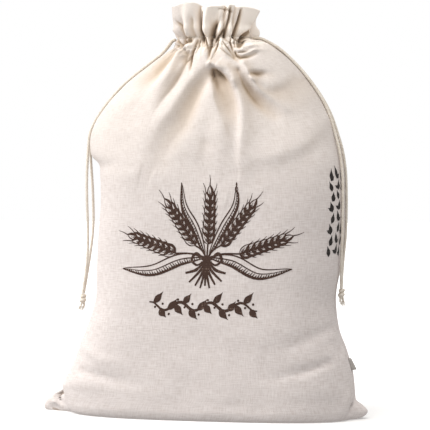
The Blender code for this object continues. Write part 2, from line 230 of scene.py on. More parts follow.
# %% Objects from points and faces
def new_piece(name, points, faces, finish):
    """A smooth-shaded mesh object in the scene, with its finish."""
    mesh = bpy.data.meshes.new(name)
    mesh.from_pydata([tuple(map(float, point)) for point in points], [], faces)
    mesh.materials.append(finish)
    mesh.shade_smooth()
    piece = bpy.data.objects.new(name, mesh)
    bpy.context.scene.collection.objects.link(piece)
    return piece


def give_uv(piece, per_point, name="threads"):
    """A UV map from one pair of numbers for each point."""
    layer = piece.data.uv_layers.new(name=name)
    corners = np.zeros(len(piece.data.loops), dtype=np.int32)
    piece.data.loops.foreach_get("vertex_index", corners)
    layer.data.foreach_set("uv", np.asarray(per_point, dtype=float)[corners].ravel())


def grid_faces(row_count, column_count, closed=False):
    """Faces of a grid of points, counted row by row; a closed grid joins last to first."""
    faces = []
    for row in range(row_count - 1):
        here, above = row * column_count, (row + 1) * column_count
        for column in range(column_count if closed else column_count - 1):
            beside = (column + 1) % column_count
            faces.append((here + column, here + beside, above + beside, above + column))
    return faces


def end_caps(row_count, column_count):
    """One face for each end of a tube of rings."""
    last = (row_count - 1) * column_count
    return [tuple(range(column_count))[::-1], tuple(range(last, last + column_count))]


print("faces in a 3 by 4 grid:", len(grid_faces(3, 4)))

# %% Tubes: twisted plies and thin threads
CORD_SIDES = 18
PLIES = 3
PLY_DEPTH = 0.17
PLY_SWELL = 1.15


def ring_points(points, turn, size):
    """Rings round a chain of points: an angle and a distance for each point of a ring."""
    side, other = carried_frames(points)
    return (points[:, None, :] + (size * np.cos(turn))[:, :, None] * side[:, None, :]
            + (size * np.sin(turn))[:, :, None] * other[:, None, :]).reshape(-1, 3)


def plied_tube(points, radius, pitch):
    """Points, faces and UV of a cord of twisted plies along a chain of points."""
    along = way_along(points)
    twist = 2.0 * math.pi * along / pitch
    angle = (np.linspace(0.0, 2.0 * math.pi, CORD_SIDES, endpoint=False)[None, :]
             + np.zeros((len(points), 1)))
    lobe = np.abs(np.cos(0.5 * PLIES * (angle - twist[:, None])))
    size = radius * (1.0 - PLY_DEPTH + PLY_DEPTH * PLY_SWELL * lobe)
    faces = (grid_faces(len(points), CORD_SIDES, closed=True)
             + end_caps(len(points), CORD_SIDES))
    uv = np.stack((angle / (2.0 * math.pi), np.repeat(along[:, None], CORD_SIDES, axis=1)), axis=2)
    return ring_points(points, angle, size), faces, uv.reshape(-1, 2)


def thin_tube(points, radius, tip, sides, map_turn):
    """A thin open tube, with the share of its radius at its tip and the turn that maps to 1."""
    turn = np.arange(sides) * 2.0 * math.pi / sides
    size = radius * np.linspace(1.0, tip, len(points))[:, None]
    uv = np.tile(np.stack((turn / map_turn, turn * 0.0), axis=1), (len(points), 1))
    places = ring_points(points, turn[None, :], size)
    return places, grid_faces(len(points), sides, closed=True), uv


print("sides of a cord:", CORD_SIDES)

# %% [markdown]
# ## Fibres and threads as shared effects
# Three finishes here are made of threads: the linen, the cords and the narrow tape. What they
# share becomes a node group once, with named sockets, and each finish gives it its own
# numbers. `cotton fibres` is the fine fuzz of spun yarn. `plain weave` makes warp and weft
# threads that pass over and under each other, and slubs: stretches where a thread is thicker.

# %% Making a node group
def node_group(name, inputs, outputs):
    """An empty shader node group, with its named sockets and its two ends."""
    group = bpy.data.node_groups.new(name, "ShaderNodeTree")
    for socket, kind, value in inputs:
        made = group.interface.new_socket(name=socket, in_out="INPUT", socket_type=kind)
        if value is not None:
            made.default_value = value
    for socket, kind in outputs:
        group.interface.new_socket(name=socket, in_out="OUTPUT", socket_type=kind)
    return group, group.nodes.new("NodeGroupInput"), group.nodes.new("NodeGroupOutput")


def calculate(tree, operation, *values, clamp=False):
    """One Math node, fed by sockets or plain numbers; gives its result socket."""
    node = tree.nodes.new("ShaderNodeMath")
    node.operation = operation
    node.use_clamp = clamp
    for socket, value in zip(node.inputs, values):
        if isinstance(value, (int, float)):
            socket.default_value = value
        else:
            tree.links.new(value, socket)
    return node.outputs[0]


def stretched_noise(tree, across, along, fine_x, fine_y, detail=2.0, depth=0.0):
    """Noise that is stretched in one direction: how fine it is is given for both."""
    place = tree.nodes.new("ShaderNodeCombineXYZ")
    tree.links.new(calculate(tree, "MULTIPLY", across, fine_x), place.inputs["X"])
    tree.links.new(calculate(tree, "MULTIPLY", along, fine_y), place.inputs["Y"])
    place.inputs["Z"].default_value = depth
    grain = tree.nodes.new("ShaderNodeTexNoise")
    grain.inputs["Scale"].default_value = 1.0
    grain.inputs["Detail"].default_value = detail
    tree.links.new(place.outputs[0], grain.inputs["Vector"])
    return grain.outputs["Fac"]


print("node helpers ready")

# %% The plain weave group
WEAVE_COLUMNS = ("axis", "wander", "slubs", "over")
WEAVE = (
    ("X", (45.0, 160.0, 1.0, 3.0), (1150.0, 130.0, 2.0, 11.0), 0.30),
    ("Y", (160.0, 45.0, 1.0, 7.0), (115.0, 1050.0, 2.0, 17.0), -0.30),
)
WANDERS = 1.6            # threads wander a little, so the count is never perfectly even
THREAD_TALL = 0.66
SLUB_HEIGHT, SLUB_TONE = 1.1, 1.6


def make_plain_weave():
    """Warp and weft threads with slubs, from a place on the cloth in metres."""
    group, given, result = node_group(
        "plain weave",
        [("Place", "NodeSocketVector", None), ("Threads per metre", "NodeSocketFloat", 1250.0),
         ("Slubs", "NodeSocketFloat", 0.6)],
        [("Height", "NodeSocketFloat"), ("Tone", "NodeSocketFloat"), ("Gaps", "NodeSocketFloat")],
    )
    apart = group.nodes.new("ShaderNodeSeparateXYZ")
    group.links.new(given.outputs["Place"], apart.inputs[0])
    x, y = apart.outputs["X"], apart.outputs["Y"]
    yarns = named(WEAVE_COLUMNS, WEAVE)
    counts, slubs, tops = [], [], []
    for yarn in yarns:
        count = calculate(group, "MULTIPLY_ADD", apart.outputs[yarn["axis"]],
                          given.outputs["Threads per metre"], 0.0)
        wander = stretched_noise(group, x, y, *yarn["wander"])
        counts.append(calculate(group, "MULTIPLY_ADD", wander, WANDERS, count))
        slubs.append(stretched_noise(group, x, y, *yarn["slubs"]))
    # a thread is round on top, and higher where it lies over the other one
    parity = calculate(group, "ADD", *[calculate(group, "FLOOR", count) for count in counts])
    over = calculate(group, "COSINE", calculate(group, "MULTIPLY", parity, math.pi))
    for yarn, count in zip(yarns, counts):
        wave = calculate(group, "SINE", calculate(group, "MULTIPLY", count, math.pi))
        tall = calculate(group, "MULTIPLY_ADD", over, yarn["over"], THREAD_TALL)
        tops.append(calculate(group, "MULTIPLY", calculate(group, "ABSOLUTE", wave), tall))
    threads = calculate(group, "MAXIMUM", *tops)
    # slubs: long and thin along each thread
    mottle = calculate(group, "SUBTRACT", calculate(group, "ADD", *slubs), 1.0)
    mottle = calculate(group, "MULTIPLY", mottle, given.outputs["Slubs"])
    height = calculate(group, "MULTIPLY_ADD", mottle, SLUB_HEIGHT, threads)
    tone = calculate(group, "MULTIPLY_ADD", mottle, SLUB_TONE, 0.5, clamp=True)
    filled = calculate(group, "MULTIPLY", threads, 1.35)
    gaps = calculate(group, "SUBTRACT", 1.0, filled, clamp=True)
    for name, socket in (("Height", height), ("Tone", tone), ("Gaps", gaps)):
        group.links.new(socket, result.inputs[name])
    return group


plain_weave = make_plain_weave()
print("plain weave nodes:", len(plain_weave.nodes))

# %% The cotton fibre group
def make_cotton_fibres():
    """Fine fuzz along a yarn: U runs round it and V along it, in metres."""
    group, given, result = node_group(
        "cotton fibres",
        [("Place", "NodeSocketVector", None), ("Slant", "NodeSocketFloat", 120.0)],
        [("Height", "NodeSocketFloat"), ("Tone", "NodeSocketFloat")],
    )
    apart = group.nodes.new("ShaderNodeSeparateXYZ")
    group.links.new(given.outputs["Place"], apart.inputs[0])
    slanted = calculate(group, "MULTIPLY_ADD", apart.outputs["Y"], given.outputs["Slant"],
                        apart.outputs["X"])
    fine = stretched_noise(group, slanted, apart.outputs["Y"], 42.0, 900.0, 3.0, 2.0)
    broad = stretched_noise(group, slanted, apart.outputs["Y"], 3.0, 160.0, 1.0, 5.0)
    group.links.new(fine, result.inputs["Height"])
    tone = calculate(group, "MULTIPLY_ADD", broad, 0.6, calculate(group, "MULTIPLY", fine, 0.4))
    group.links.new(tone, result.inputs["Tone"])
    return group


cotton_fibres = make_cotton_fibres()
print("cotton fibre nodes:", len(cotton_fibres.nodes))

# %% [markdown]
# ## Cord cotton
# Natural cotton cord is a little yellower than the linen, quite matt, and darker in the
# grooves between its plies. The groove comes from the shape; the finish adds fibres that
# follow the twist, and a slow change of tone along the cord.

# %% Helpers for all finishes
def blank_finish(name, roughness):
    """A material with its shader, ready for links."""
    finish = bpy.data.materials.new(name)
    finish.use_nodes = True
    shader = finish.node_tree.nodes["Principled BSDF"]
    shader.inputs["Roughness"].default_value = roughness
    shader.inputs["Specular IOR Level"].default_value = 0.25
    return finish, finish.node_tree, shader


def uv_place(tree, name):
    """A named UV map as a place."""
    node = tree.nodes.new("ShaderNodeUVMap")
    node.uv_map = name
    return node.outputs[0]


def colour_ramp(tree, share, stops):
    """A colour between named stops, by a share from 0 to 1."""
    ramp = tree.nodes.new("ShaderNodeValToRGB")
    for index, (place, colour) in enumerate(stops):
        stop = ramp.color_ramp.elements[index] if index < 2 else ramp.color_ramp.elements.new(place)
        stop.position = place
        stop.color = (*colour, 1.0)
    tree.links.new(share, ramp.inputs[0])
    return ramp.outputs["Color"]


def bumped(tree, shader, height, strength, distance):
    """Small relief from a height."""
    bump = tree.nodes.new("ShaderNodeBump")
    bump.inputs["Strength"].default_value = strength
    bump.inputs["Distance"].default_value = distance
    tree.links.new(height, bump.inputs["Height"])
    tree.links.new(bump.outputs[0], shader.inputs["Normal"])


print("finish helpers ready")

# %% Cord finish
def spun_finish(name, roughness, slant, stops, strength, distance):
    """Yarn or cord: fibres that follow the twist, in a few close tones."""
    finish, tree, shader = blank_finish(name, roughness)
    fibres = tree.nodes.new("ShaderNodeGroup")
    fibres.node_tree = cotton_fibres
    fibres.inputs["Slant"].default_value = slant
    tree.links.new(uv_place(tree, "threads"), fibres.inputs["Place"])
    tree.links.new(colour_ramp(tree, fibres.outputs["Tone"], stops), shader.inputs["Base Color"])
    bumped(tree, shader, fibres.outputs["Height"], strength, distance)
    return finish


CORD_TONES = ((0.30, (0.59, 0.52, 0.43)), (0.52, (0.70, 0.64, 0.56)), (0.75, (0.77, 0.72, 0.66)))
cord_cotton = spun_finish("cord cotton", roughness=0.9, slant=125.0, stops=CORD_TONES,
                          strength=0.5, distance=0.0003)
print("cord finish nodes:", len(cord_cotton.node_tree.nodes))

# %% [markdown]
# ## The four cord ends
# Two cords run through the casing, one pulled out at each side, so two ends hang down each
# side of the bag and are knotted together at the bottom. Each end leaves the casing, lies on
# the shoulder beside the side seam, and hangs straight down. The routes are chains of points;
# the curve through them gives the cord's real length, which is declared with it.

# %% Cord routes
CORD_THICK = 0.0025
CORD_ROUTES = {
    "cord_left_front": (
        (-25.3, -1.7, 336.2), (-27.8, -1.8, 335.6), (-31, -1.8, 331.8), (-36.2, -1.8, 325.4),
        (-45.9, -1.8, 317.7), (-57.9, -1.8, 308.8), (-70.7, -1.8, 298.7), (-83.2, -1.8, 286.3),
        (-93, -1.8, 274.3), (-100.4, -2, 262.8), (-104.8, -2.5, 251.9),
        (-105.9, -3.2, 241), (-106.4, -4.6, 228), (-106.7, -6.2, 208),
        (-106.5, -6, 188), (-106.2, -4.4, 168), (-106.7, -2.8, 150),
        (-108, -2, 134), (-110, -1.7, 119), (-112, -1.6, 107),
    ),
    "cord_left_back": (
        (-25.3, 1.7, 336.2), (-28, 1.8, 335.4), (-31.6, 1.8, 331.2), (-36.8, 1.8, 325.4),
        (-46.2, 1.8, 318.1), (-58.1, 1.8, 309), (-70.8, 1.8, 298.8), (-83.2, 1.8, 286.3),
        (-93, 1.8, 274.3), (-100.4, 1.8, 262.9), (-104.8, 1.9, 251.9), (-105.7, 2.2, 241),
        (-105.4, 3, 228), (-104.4, 4.2, 208), (-103.8, 5, 188),
        (-103.7, 4.6, 168), (-105.2, 3.2, 150), (-107.4, 2.2, 134),
        (-109.8, 1.7, 119), (-112, 1.6, 107),
    ),
    "cord_right_front": (
        (45.4, -1.7, 336.6), (48.4, -1.9, 336.9), (53.2, -2.1, 335.8), (59, -2.4, 333.2),
        (68.4, -2.7, 327.6), (78.9, -2.9, 318.6), (89.4, -3.2, 307.4), (99.1, -3.8, 295.1),
        (108.1, -4.8, 281.4), (114.9, -6.8, 267.4), (119.9, -9.4, 252.4),
        (123.9, -12, 237.4), (126.9, -14.6, 219.8), (127.8, -16.6, 200),
        (127.7, -16.6, 180), (127.1, -14.8, 160), (126, -11, 143),
        (125, -5, 128), (124.6, -1.4, 120.5), (124.5, -0.6, 115.2),
    ),
    "cord_right_back": (
        (45.4, 1.7, 336.6), (48.4, 1.7, 336.7), (53.2, 1.6, 335.5), (58.8, 1.4, 333),
        (68.2, 1, 327.4), (78.7, 0.7, 318.4), (89.4, 0.3, 307.4), (99.2, 0, 295.2),
        (108.3, -0.4, 281.6), (115.5, -0.6, 267.7), (120.8, -0.7, 252.8),
        (125.2, -0.6, 237.8), (128.1, -0.4, 220), (128.9, 0.2, 200), (128.8, 0.8, 180),
        (128, 1.4, 160), (126.3, 2, 143), (125, 2.5, 128),
        (124.6, 2.7, 120.5), (124.5, 2.8, 115.2),
    ),
}
CORD_PITCH = 8.4 * MM
CORD_RING_STEP = 0.7 * MM

cords = {}
for name, route in CORD_ROUTES.items():
    line = smooth_route(np.array(route) * MM, CORD_RING_STEP)
    points, faces, uv = plied_tube(line, CORD_THICK / 2.0, CORD_PITCH)
    cords[name] = new_piece(name + "_twisted", points, faces, cord_cotton)
    give_uv(cords[name], uv)
    cords[name]["route_length"] = float(way_along(line)[-1])
    print(name, "length", round(cords[name]["route_length"] / MM, 1), "mm")

# %% [markdown]
# ## The knots
# Each pair of ends is tied in one overhand knot, pulled tight, and cut below it. An overhand
# knot in two cords looks like a small barrel: a few slanted wraps round a core, with the cords
# going in above and the frayed tails coming out below. The wraps are one plied tube on a
# slanted screw line; the tails open into single fibres, each a thin tapering tube.

# %% Wraps of a knot
KNOT_COLUMNS = ("name", "x", "y", "z_top", "swing", "cords")
KNOTS = (
    ("knot_left", -112.2, 0.0, 106.4, -2.5, ("cord_left_front", "cord_left_back")),
    ("knot_right", 124.5, 1.1, 114.6, 1.0, ("cord_right_front", "cord_right_back")),
)
WRAPS = 2.6
WRAP_START = 0.8         # radians
WRAP_LINE = (2.2 * 0.95, 2.2 * 1.12)     # from the knot's middle to the cord's, in X and Y
WRAP_ROUND = 0.45        # a small power makes the barrel's ends blunt
WRAP_SLANT = 1.5
WRAP_POINTS = 70
KNOT_TALL = 8.0
KNOT_ENDS = (1.0, 0.6)   # how far below the top the line starts, and above the bottom it ends


def knot_line(knot):
    """The line of the cord through a knot: in at the top, round in wraps, out at the bottom."""
    share = np.linspace(0.0, 1.0, WRAP_POINTS)
    turn = share * WRAPS * 2.0 * math.pi + WRAP_START
    wide = np.sin(math.pi * np.clip(share * 1.04 - 0.02, 0.0, 1.0)) ** WRAP_ROUND
    down = KNOT_ENDS[0] + (KNOT_TALL - sum(KNOT_ENDS)) * ease(share)
    x = WRAP_LINE[0] * wide * np.cos(turn)
    y = WRAP_LINE[1] * wide * np.sin(turn)
    z = -down + WRAP_SLANT * np.cos(turn) * np.sin(math.pi * share)
    middle = np.array((knot["x"], knot["y"], knot["z_top"]))
    return (np.stack((x, y, z), axis=1) + middle) * MM


def join_parts(parts):
    """Several lists of points, faces and UVs as one."""
    points, faces, uvs, start = [], [], [], 0
    for part_points, part_faces, part_uv in parts:
        points.append(part_points)
        uvs.append(part_uv)
        faces += [tuple(start + corner for corner in face) for face in part_faces]
        start += len(part_points)
    return np.concatenate(points), faces, np.concatenate(uvs)


print("wraps in a knot:", WRAPS)

# %% Frayed tails
TAILS_FROM = 0.9         # how far above the knot's bottom the two tails start
TAIL_THICK = 1.05
STUB_LONG = 4.2          # the part of a tail that keeps its twist
FIBRES = 26
FIBRE_THICK = 0.17
FIBRE_TIP = 0.35
FIBRE_REACH = (2.2, 5.4)
FIBRE_STRAYS = 0.45
TAILS_LONGEST = 17.4     # from the top of the knot


def frayed_tails(knot, seed):
    """Two short tails below a knot, and the fibres that they open into."""
    chance = np.random.default_rng(seed)
    parts = []
    swing = np.array((knot["swing"], 0.0, 0.0))
    top = np.array((knot["x"], knot["y"], knot["z_top"] - KNOT_TALL + TAILS_FROM))
    for side in (-1.0, 1.0):
        start = top + np.array((0.55 * side, 1.1 * side, 0.0))
        leans = np.array((0.5 * side, 0.75 * side, -STUB_LONG)) + 0.30 * swing
        halfway = start + 0.5 * leans + (0.1 * side, 0.0, 0.0)
        stub = smooth_route([start, halfway, start + leans], 0.5)
        parts.append(plied_tube(stub * MM, TAIL_THICK * MM, CORD_PITCH * 0.8))
        for _ in range(FIBRES):
            around = chance.uniform(0.0, 2.0 * math.pi)
            away = math.sqrt(chance.uniform(0.0, 1.0)) * 0.85
            root = start + 0.8 * leans + np.array((math.cos(around), math.sin(around), 0.0)) * away
            reach = chance.uniform(*FIBRE_REACH)
            stray_x, stray_y = (chance.normal(0.0, FIBRE_STRAYS) for _ in range(2))
            tip = root + np.array((math.cos(around) * away * 0.9 + stray_x + 0.45 * knot["swing"],
                                   math.sin(around) * away * 0.8 + stray_y, -reach))
            tip[2] = max(tip[2], knot["z_top"] - TAILS_LONGEST)
            bend = (root + tip) / 2.0 + chance.normal(0.0, 0.35, 3)
            fibre = smooth_route([root, bend, tip], 0.7)
            parts.append(thin_tube(fibre * MM, FIBRE_THICK * MM, tip=FIBRE_TIP, sides=4,
                                   map_turn=6.0))
    return parts


print("fibres in a tail:", FIBRES)

# %% The finished knots
WRAP_THICK, CORE_THICK = 1.28, 1.9
CORE_SHORTER = 0.4

for seed, knot in enumerate(named(KNOT_COLUMNS, KNOTS)):
    wraps = plied_tube(knot_line(knot), WRAP_THICK * MM, CORD_PITCH)
    core_line = np.array([(knot["x"], knot["y"], knot["z_top"]),
                          (knot["x"], knot["y"], knot["z_top"] - KNOT_TALL + CORE_SHORTER)])
    core = plied_tube(smooth_route(core_line * MM, 0.5 * MM), CORE_THICK * MM, CORD_PITCH)
    points, faces, uv = join_parts([wraps, core, *frayed_tails(knot, seed + 3)])
    piece = new_piece(knot["name"] + "_tied", points, faces, cord_cotton)
    give_uv(piece, uv)
    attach(piece, "root")
    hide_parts(knot["name"])
    for cord_name in knot["cords"]:
        cord = cords[cord_name]
        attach(cord, "root")
        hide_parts(cord_name)
        route = np.array(CORD_ROUTES[cord_name]) * MM
    print(knot["name"], "faces", len(piece.data.polygons))

# %% [markdown]
# ## The form of the filled bag
# A filled sack can be simulated, but its exact folds would then be luck. Here the form is
# lofted: level sections give the width, the depth and the roundness at chosen heights, and
# the left and the right side have their own heights because the bag leans. The rows between
# them follow smooth curves, closer together where the cloth is busy.

# %% Sections from the floor to the rim
SECTION_COLUMNS = ("x_left", "z_left", "x_right", "z_right", "depth", "square")
SECTIONS = (
    (-118, 0, 130, 0, 44.5, 2.7),
    (-121.4, 2.2, 134, 2.2, 47.5, 2.7),
    (-124, 6.5, 135.6, 6.5, 49.5, 2.7),
    (-125.3, 12.5, 136.5, 12, 50, 2.7),
    (-126.2, 18, 136.7, 16.5, 50.3, 2.7),
    (-126.5, 21.8, 136.6, 19, 50.6, 2.7),
    (-126.4, 26, 136.2, 24, 50.8, 2.8),
    (-121, 40, 134.4, 40, 51.3, 2.8),
    (-113.2, 58, 129.4, 58, 52, 2.9),
    (-104.5, 80, 121, 80, 53, 3),
    (-97, 103, 118.5, 103, 53.8, 3),
    (-95.5, 130, 122.5, 130, 54.4, 3),
    (-94, 162, 126, 162, 54.6, 3),
    (-92, 192, 127, 192, 54.4, 3),
    (-92.5, 215, 126.5, 212, 53.8, 2.9),
    (-94, 223.5, 125.5, 226, 53, 2.7),
    (-101, 231, 123.5, 237, 52.2, 2.4),
    (-104, 241, 120.4, 248, 51, 2.2),
    (-103.3, 252, 117, 260, 49.3, 2.1),
    (-98.5, 264, 111.4, 273, 47, 2),
    (-90.1, 276, 104.6, 285, 44, 2),
    (-80.2, 287.5, 96.3, 297, 40.5, 2),
    (-68.8, 298.5, 86.9, 308.5, 37, 2),
    (-55.3, 309, 76.5, 319, 33, 2),
    (-42.5, 318, 65.6, 327.5, 29, 2),
    (-31.5, 325.5, 55.5, 333.6, 26, 2),
    (-25, 330, 47, 334.6, 24, 2),
    (-23.5, 334.5, 43.5, 336, 23, 2),
    (-23.5, 339.5, 43.5, 339, 23.2, 2),
    (-23.5, 347, 42.5, 346, 23.6, 2.1),
    (-24.5, 356.5, 43.5, 354, 24.2, 2.2),
    (-25.5, 366, 46.5, 362, 25, 2.2),
)
ROW_STEP_COLUMNS = ("height", "step")
ROW_STEPS = ((0, 1.0), (14, 1.8), (40, 3.1), (205, 3.1), (228, 2.0), (300, 1.6), (320, 1.0),
             (366, 0.9))
COLUMN_COUNT = 231

section = rows(SECTION_COLUMNS, SECTIONS)
section_height = (section["z_left"] + section["z_right"]) / 2.0
section_size = (section["x_right"] - section["x_left"]) / 4.0 + section["depth"] / 2.0
section_travel = way_along(np.stack((section_height, section_size), axis=1))


def row_travels():
    """How far up the cloth each row lies, in millimetres from the floor's edge."""
    steps = rows(ROW_STEP_COLUMNS, ROW_STEPS)
    travels = [0.0]
    while travels[-1] < section_travel[-1]:
        height = np.interp(travels[-1], section_travel, section_height)
        travels.append(travels[-1] + float(np.interp(height, steps["height"], steps["step"])))
    return np.array(travels[:-1] + [section_travel[-1]])


row_travel = row_travels()
row_form = {name: follow(section_travel, values, row_travel) for name, values in section.items()}
across = np.linspace(0.0, 1.0, COLUMN_COUNT)
print("rows:", len(row_travel), "columns:", COLUMN_COUNT)

# %% [markdown]
# ## Ears and outlines
# The bottom corners of a flat bag stick out when it is filled, like the ears of a flour sack.
# Each ear is a bulge of the outline, thin from front to back, so the side seam runs along its
# sloping top edge. The table gives how far each ear stands out at each height.

# %% The outline of a row
OUTLINE_POINTS = 1201
EAR_ROUNDING = 5.0       # the bottom seam ends this far inside the ear's tip
EAR_COLUMNS = ("outward", "half_thickness", "reach")
EAR_REACH_COLUMNS = ("z", "out")
EARS = (
    (-1, 7, ((0, 30), (3.7, 27.6), (7, 24.3), (10.3, 20.6), (14.6, 14), (17, 9), (18.8, 4),
             (20.4, 0.8), (22, 0))),
    (1, 7.5, ((0, 9.5), (1.6, 11.4), (3.5, 12.6), (6.2, 13.3), (8.8, 11.6), (13, 6.4),
              (15.5, 2), (17.5, 0))),
)


def row_outline(form, height):
    """Half of a level section: from the left seam over the face to the right seam."""
    turn = np.linspace(0.0, math.pi, OUTLINE_POINTS)
    power = 2.0 / form["square"]
    middle = (form["x_left"] + form["x_right"]) / 2.0
    half_width = (form["x_right"] - form["x_left"]) / 2.0
    x = middle - half_width * np.sign(np.cos(turn)) * np.abs(np.cos(turn)) ** power
    y = form["depth"] * np.abs(np.sin(turn)) ** power
    for ear in named(EAR_COLUMNS, EARS):
        profile = rows(EAR_REACH_COLUMNS, ear["reach"])
        reach = np.interp(height, profile["z"], profile["out"])
        bulge = reach * np.exp(-((y / ear["half_thickness"]) ** 2))
        x += np.where(ear["outward"] * (x - middle) > 0.0, ear["outward"] * bulge, 0.0)
    return x, y


def evenly_along(x, y):
    """Points at even shares of an outline, and the outward direction at each of them."""
    length = way_along(np.stack((x, y), axis=1)) + np.arange(len(x)) * 1e-9
    slope_x, slope_y = np.gradient(x, length), np.gradient(y, length)
    size = np.hypot(slope_x, slope_y)
    wanted = across * length[-1]
    return [np.interp(wanted, length, values) for values in (x, y, -slope_y / size, slope_x / size)]


print("ears reach", [row[2][0][1] for row in EARS], "mm at the floor")

# %% [markdown]
# ## Frill and gathers
# Above the cords the folded edge opens into a frill: a few broad lobes with sharp, deep
# valleys between them. The table gives how far the cloth stands out at the bottom of the
# frill, low and high in it, and at its rim; `slide` pushes a lobe's edge sideways over the
# valley beside it, and `lift` raises or drops the rim.
#
# Below lies the casing, where the cords squeeze the cloth. Four things are added there: close
# gathers; an uneven crumple between them; a pinch along each line of stitches, which holds the
# two layers together; and a puff above the cords, where the cloth bulges over them.

# %% Frill tables
FRILL_COLUMNS = ("across", "base", "low", "high", "rim", "slide", "lift")
FRILL = {
    "front": (
        (0, 0, 0, 0, 0, 0, -2.4), (0.050, 1.5, 2.5, 3, 2.5, 0, -1.4),
        (0.110, 2, 3.5, 3.5, 3, 0, -1.6), (0.160, 0.5, 2.5, 3.5, 3.5, 0, -1.8),
        (0.205, -2.5, 0.5, 3, 3.5, 0, -1), (0.232, -5, -1.5, 2.6, 3.8, 0, -0.2),
        (0.260, 1.5, 3, 3.8, 4, 0, 0.5), (0.300, 4.5, 5.5, 5.5, 5, 0, 1),
        (0.335, 1.5, 3.5, 4.5, 4.5, 0, 1.2), (0.370, -1, 1, 2.5, 3, 0, 1.2),
        (0.395, -3.4, -2, -0.6, 0, 0.4, 0.5), (0.416, -5.4, -5.2, -4.8, -4, 0, -1),
        (0.434, -3, -1.6, -0.5, 0.5, -0.2, -3), (0.450, 0.5, 2.2, 3, 3.4, -0.5, -3),
        (0.475, 2.5, 4.4, 5, 5, 0, -2.6), (0.502, 0.2, 2.4, 4.6, 5.6, 0, -2),
        (0.532, -3.2, -2.4, 1, 4.8, 0, -1.5), (0.557, -2.2, -2.3, 0, 3.6, 0, -1.3),
        (0.580, 1, -0.6, 0, 3, 0, -1), (0.610, 3.6, 3.6, 3, 3, 0, -0.5),
        (0.635, -0.6, 0.6, 1, 1, 0, 0), (0.650, -3.2, -3.2, -2.8, -2.8, 0, 0),
        (0.670, 1, 1.8, 2.4, 2.8, 0, 0.6), (0.695, 2.6, 3.2, 3.4, 3.2, 0, 0.8),
        (0.720, 1.2, 1.6, 1.8, 1.8, 0.5, 0.6), (0.741, -3.8, -3.4, -3, -2.8, 0, 0.2),
        (0.760, -2.4, -1.9, -1.5, -1.4, 0, 0), (0.800, -0.4, 0.2, 0.8, 0.8, 0, 0.4),
        (0.850, -0.8, 0.6, 2.4, 3.2, 0, -0.2), (0.900, 1.6, 3.4, 5, 6, 0, -1.2),
        (0.935, 0.6, 3.6, 6.4, 7.8, 0, -2.6), (0.966, -2, 0.6, 3.4, 4.4, 0, -3.6),
        (1, 0, 0, 0, 0, 0, -4),
    ),
    "back": (
        (0, 0, 0, 0, 0, 0, -2), (0.060, 2, 3, 3.5, 4, 0, 0),
        (0.110, -4.5, -3.5, -3, -2.5, 0, 1.6), (0.150, 3.5, 4, 5, 5, 0, 1.8),
        (0.200, 1, 2, 2.5, 3, 0, -0.5), (0.240, -6, -5, -3, -1, 0, 0),
        (0.290, 3, 4.5, 5, 5.5, 0, 0.5), (0.340, 3, 3.5, 4, 4, 0, 0.8),
        (0.390, -4.5, -5.5, -5, -4.5, 0, 0), (0.425, 3.5, 4, 4.5, 5, 0, -0.8),
        (0.480, -1, 0.5, 3, 4.5, 0, -0.8), (0.530, -6, -6, -5, -4.5, 0, 0),
        (0.580, 3, 4, 4.5, 5, 0, 0.5), (0.655, 2.5, 3.5, 5, 5.5, 0, 0.8),
        (0.700, -4.5, -4, -2.5, -1, 0, 0), (0.740, 3.5, 3.5, 3.5, 3.5, 0, -0.5),
        (0.790, 0.5, 0, 1.5, 3, 0, -1), (0.830, -5, -5, -4.5, -4, 0, 0),
        (0.880, 2.5, 3.5, 4, 4, 0, 0), (0.945, 5, 6, 3, 1.5, 0, -1),
        (0.980, 4.5, 5.5, 2, 0.5, 0, -3), (1, 0, 0, 0, 0, 0, -4),
    ),
}
FRILL_FROM, FRILL_TO = 337.0, 364.0
FRILL_HEIGHTS = np.array((0.0, 0.3, 0.68, 1.0))   # of base, low, high and rim
GRIP_FROM, GRIP_TO = 304.0, 338.0        # the cords hold the folds flat below
SLIDE_FULL, LIFT_FULL = 0.3, 0.9         # share of the frill's height where each is complete


def frill_shape(side, height):
    """How far the frill of a panel stands out, slides and lifts along one row."""
    table = rows(FRILL_COLUMNS, FRILL[side])
    share = np.clip((height - FRILL_FROM) / (FRILL_TO - FRILL_FROM), 0.0, 1.0)
    stages = np.stack([follow(table["across"], table[name], across)
                       for name in ("base", "low", "high", "rim")])
    out = np.array([np.interp(share, FRILL_HEIGHTS, stage) for stage in stages.T])
    grip = ease((height - GRIP_FROM) / (GRIP_TO - GRIP_FROM)) ** 2
    slide = follow(table["across"], table["slide"], across) * ease(share / SLIDE_FULL)
    lift = follow(table["across"], table["lift"], across) * ease(share / LIFT_FULL)
    return out * grip, slide, lift


print("frill stands", FRILL_TO - FRILL_FROM, "mm high")

# %% Table of gathers
GATHER_COLUMNS = ("across", "depth")
GATHERS = {
    "front": (
        (0.040, 0.8), (0.085, 0.9), (0.137, 1.0), (0.176, 0.8), (0.215, 0.9), (0.262, 1.0),
        (0.300, 1.5), (0.345, 1.0), (0.375, 0.8), (0.412, 1.1), (0.449, 1.5), (0.480, 1.0),
        (0.520, 2.0), (0.555, 1.1), (0.590, 1.2), (0.633, 0.9), (0.678, 1.1), (0.718, 0.9),
        (0.748, 1.1), (0.780, 0.8), (0.820, 1.6), (0.853, 0.9), (0.892, 1.0), (0.930, 0.8),
        (0.965, 0.9),
    ),
    "back": (
        (0.050, 0.9), (0.110, 1.2), (0.150, 0.8), (0.200, 1.0), (0.260, 1.5), (0.300, 0.9),
        (0.345, 0.8), (0.400, 1.6), (0.440, 0.9), (0.490, 1.0), (0.545, 1.7), (0.585, 0.8),
        (0.630, 0.9), (0.680, 1.3), (0.725, 0.8), (0.775, 1.0), (0.830, 1.5), (0.880, 0.9),
        (0.940, 1.0),
    ),
}
print("gathers:", {side: len(table) for side, table in GATHERS.items()})

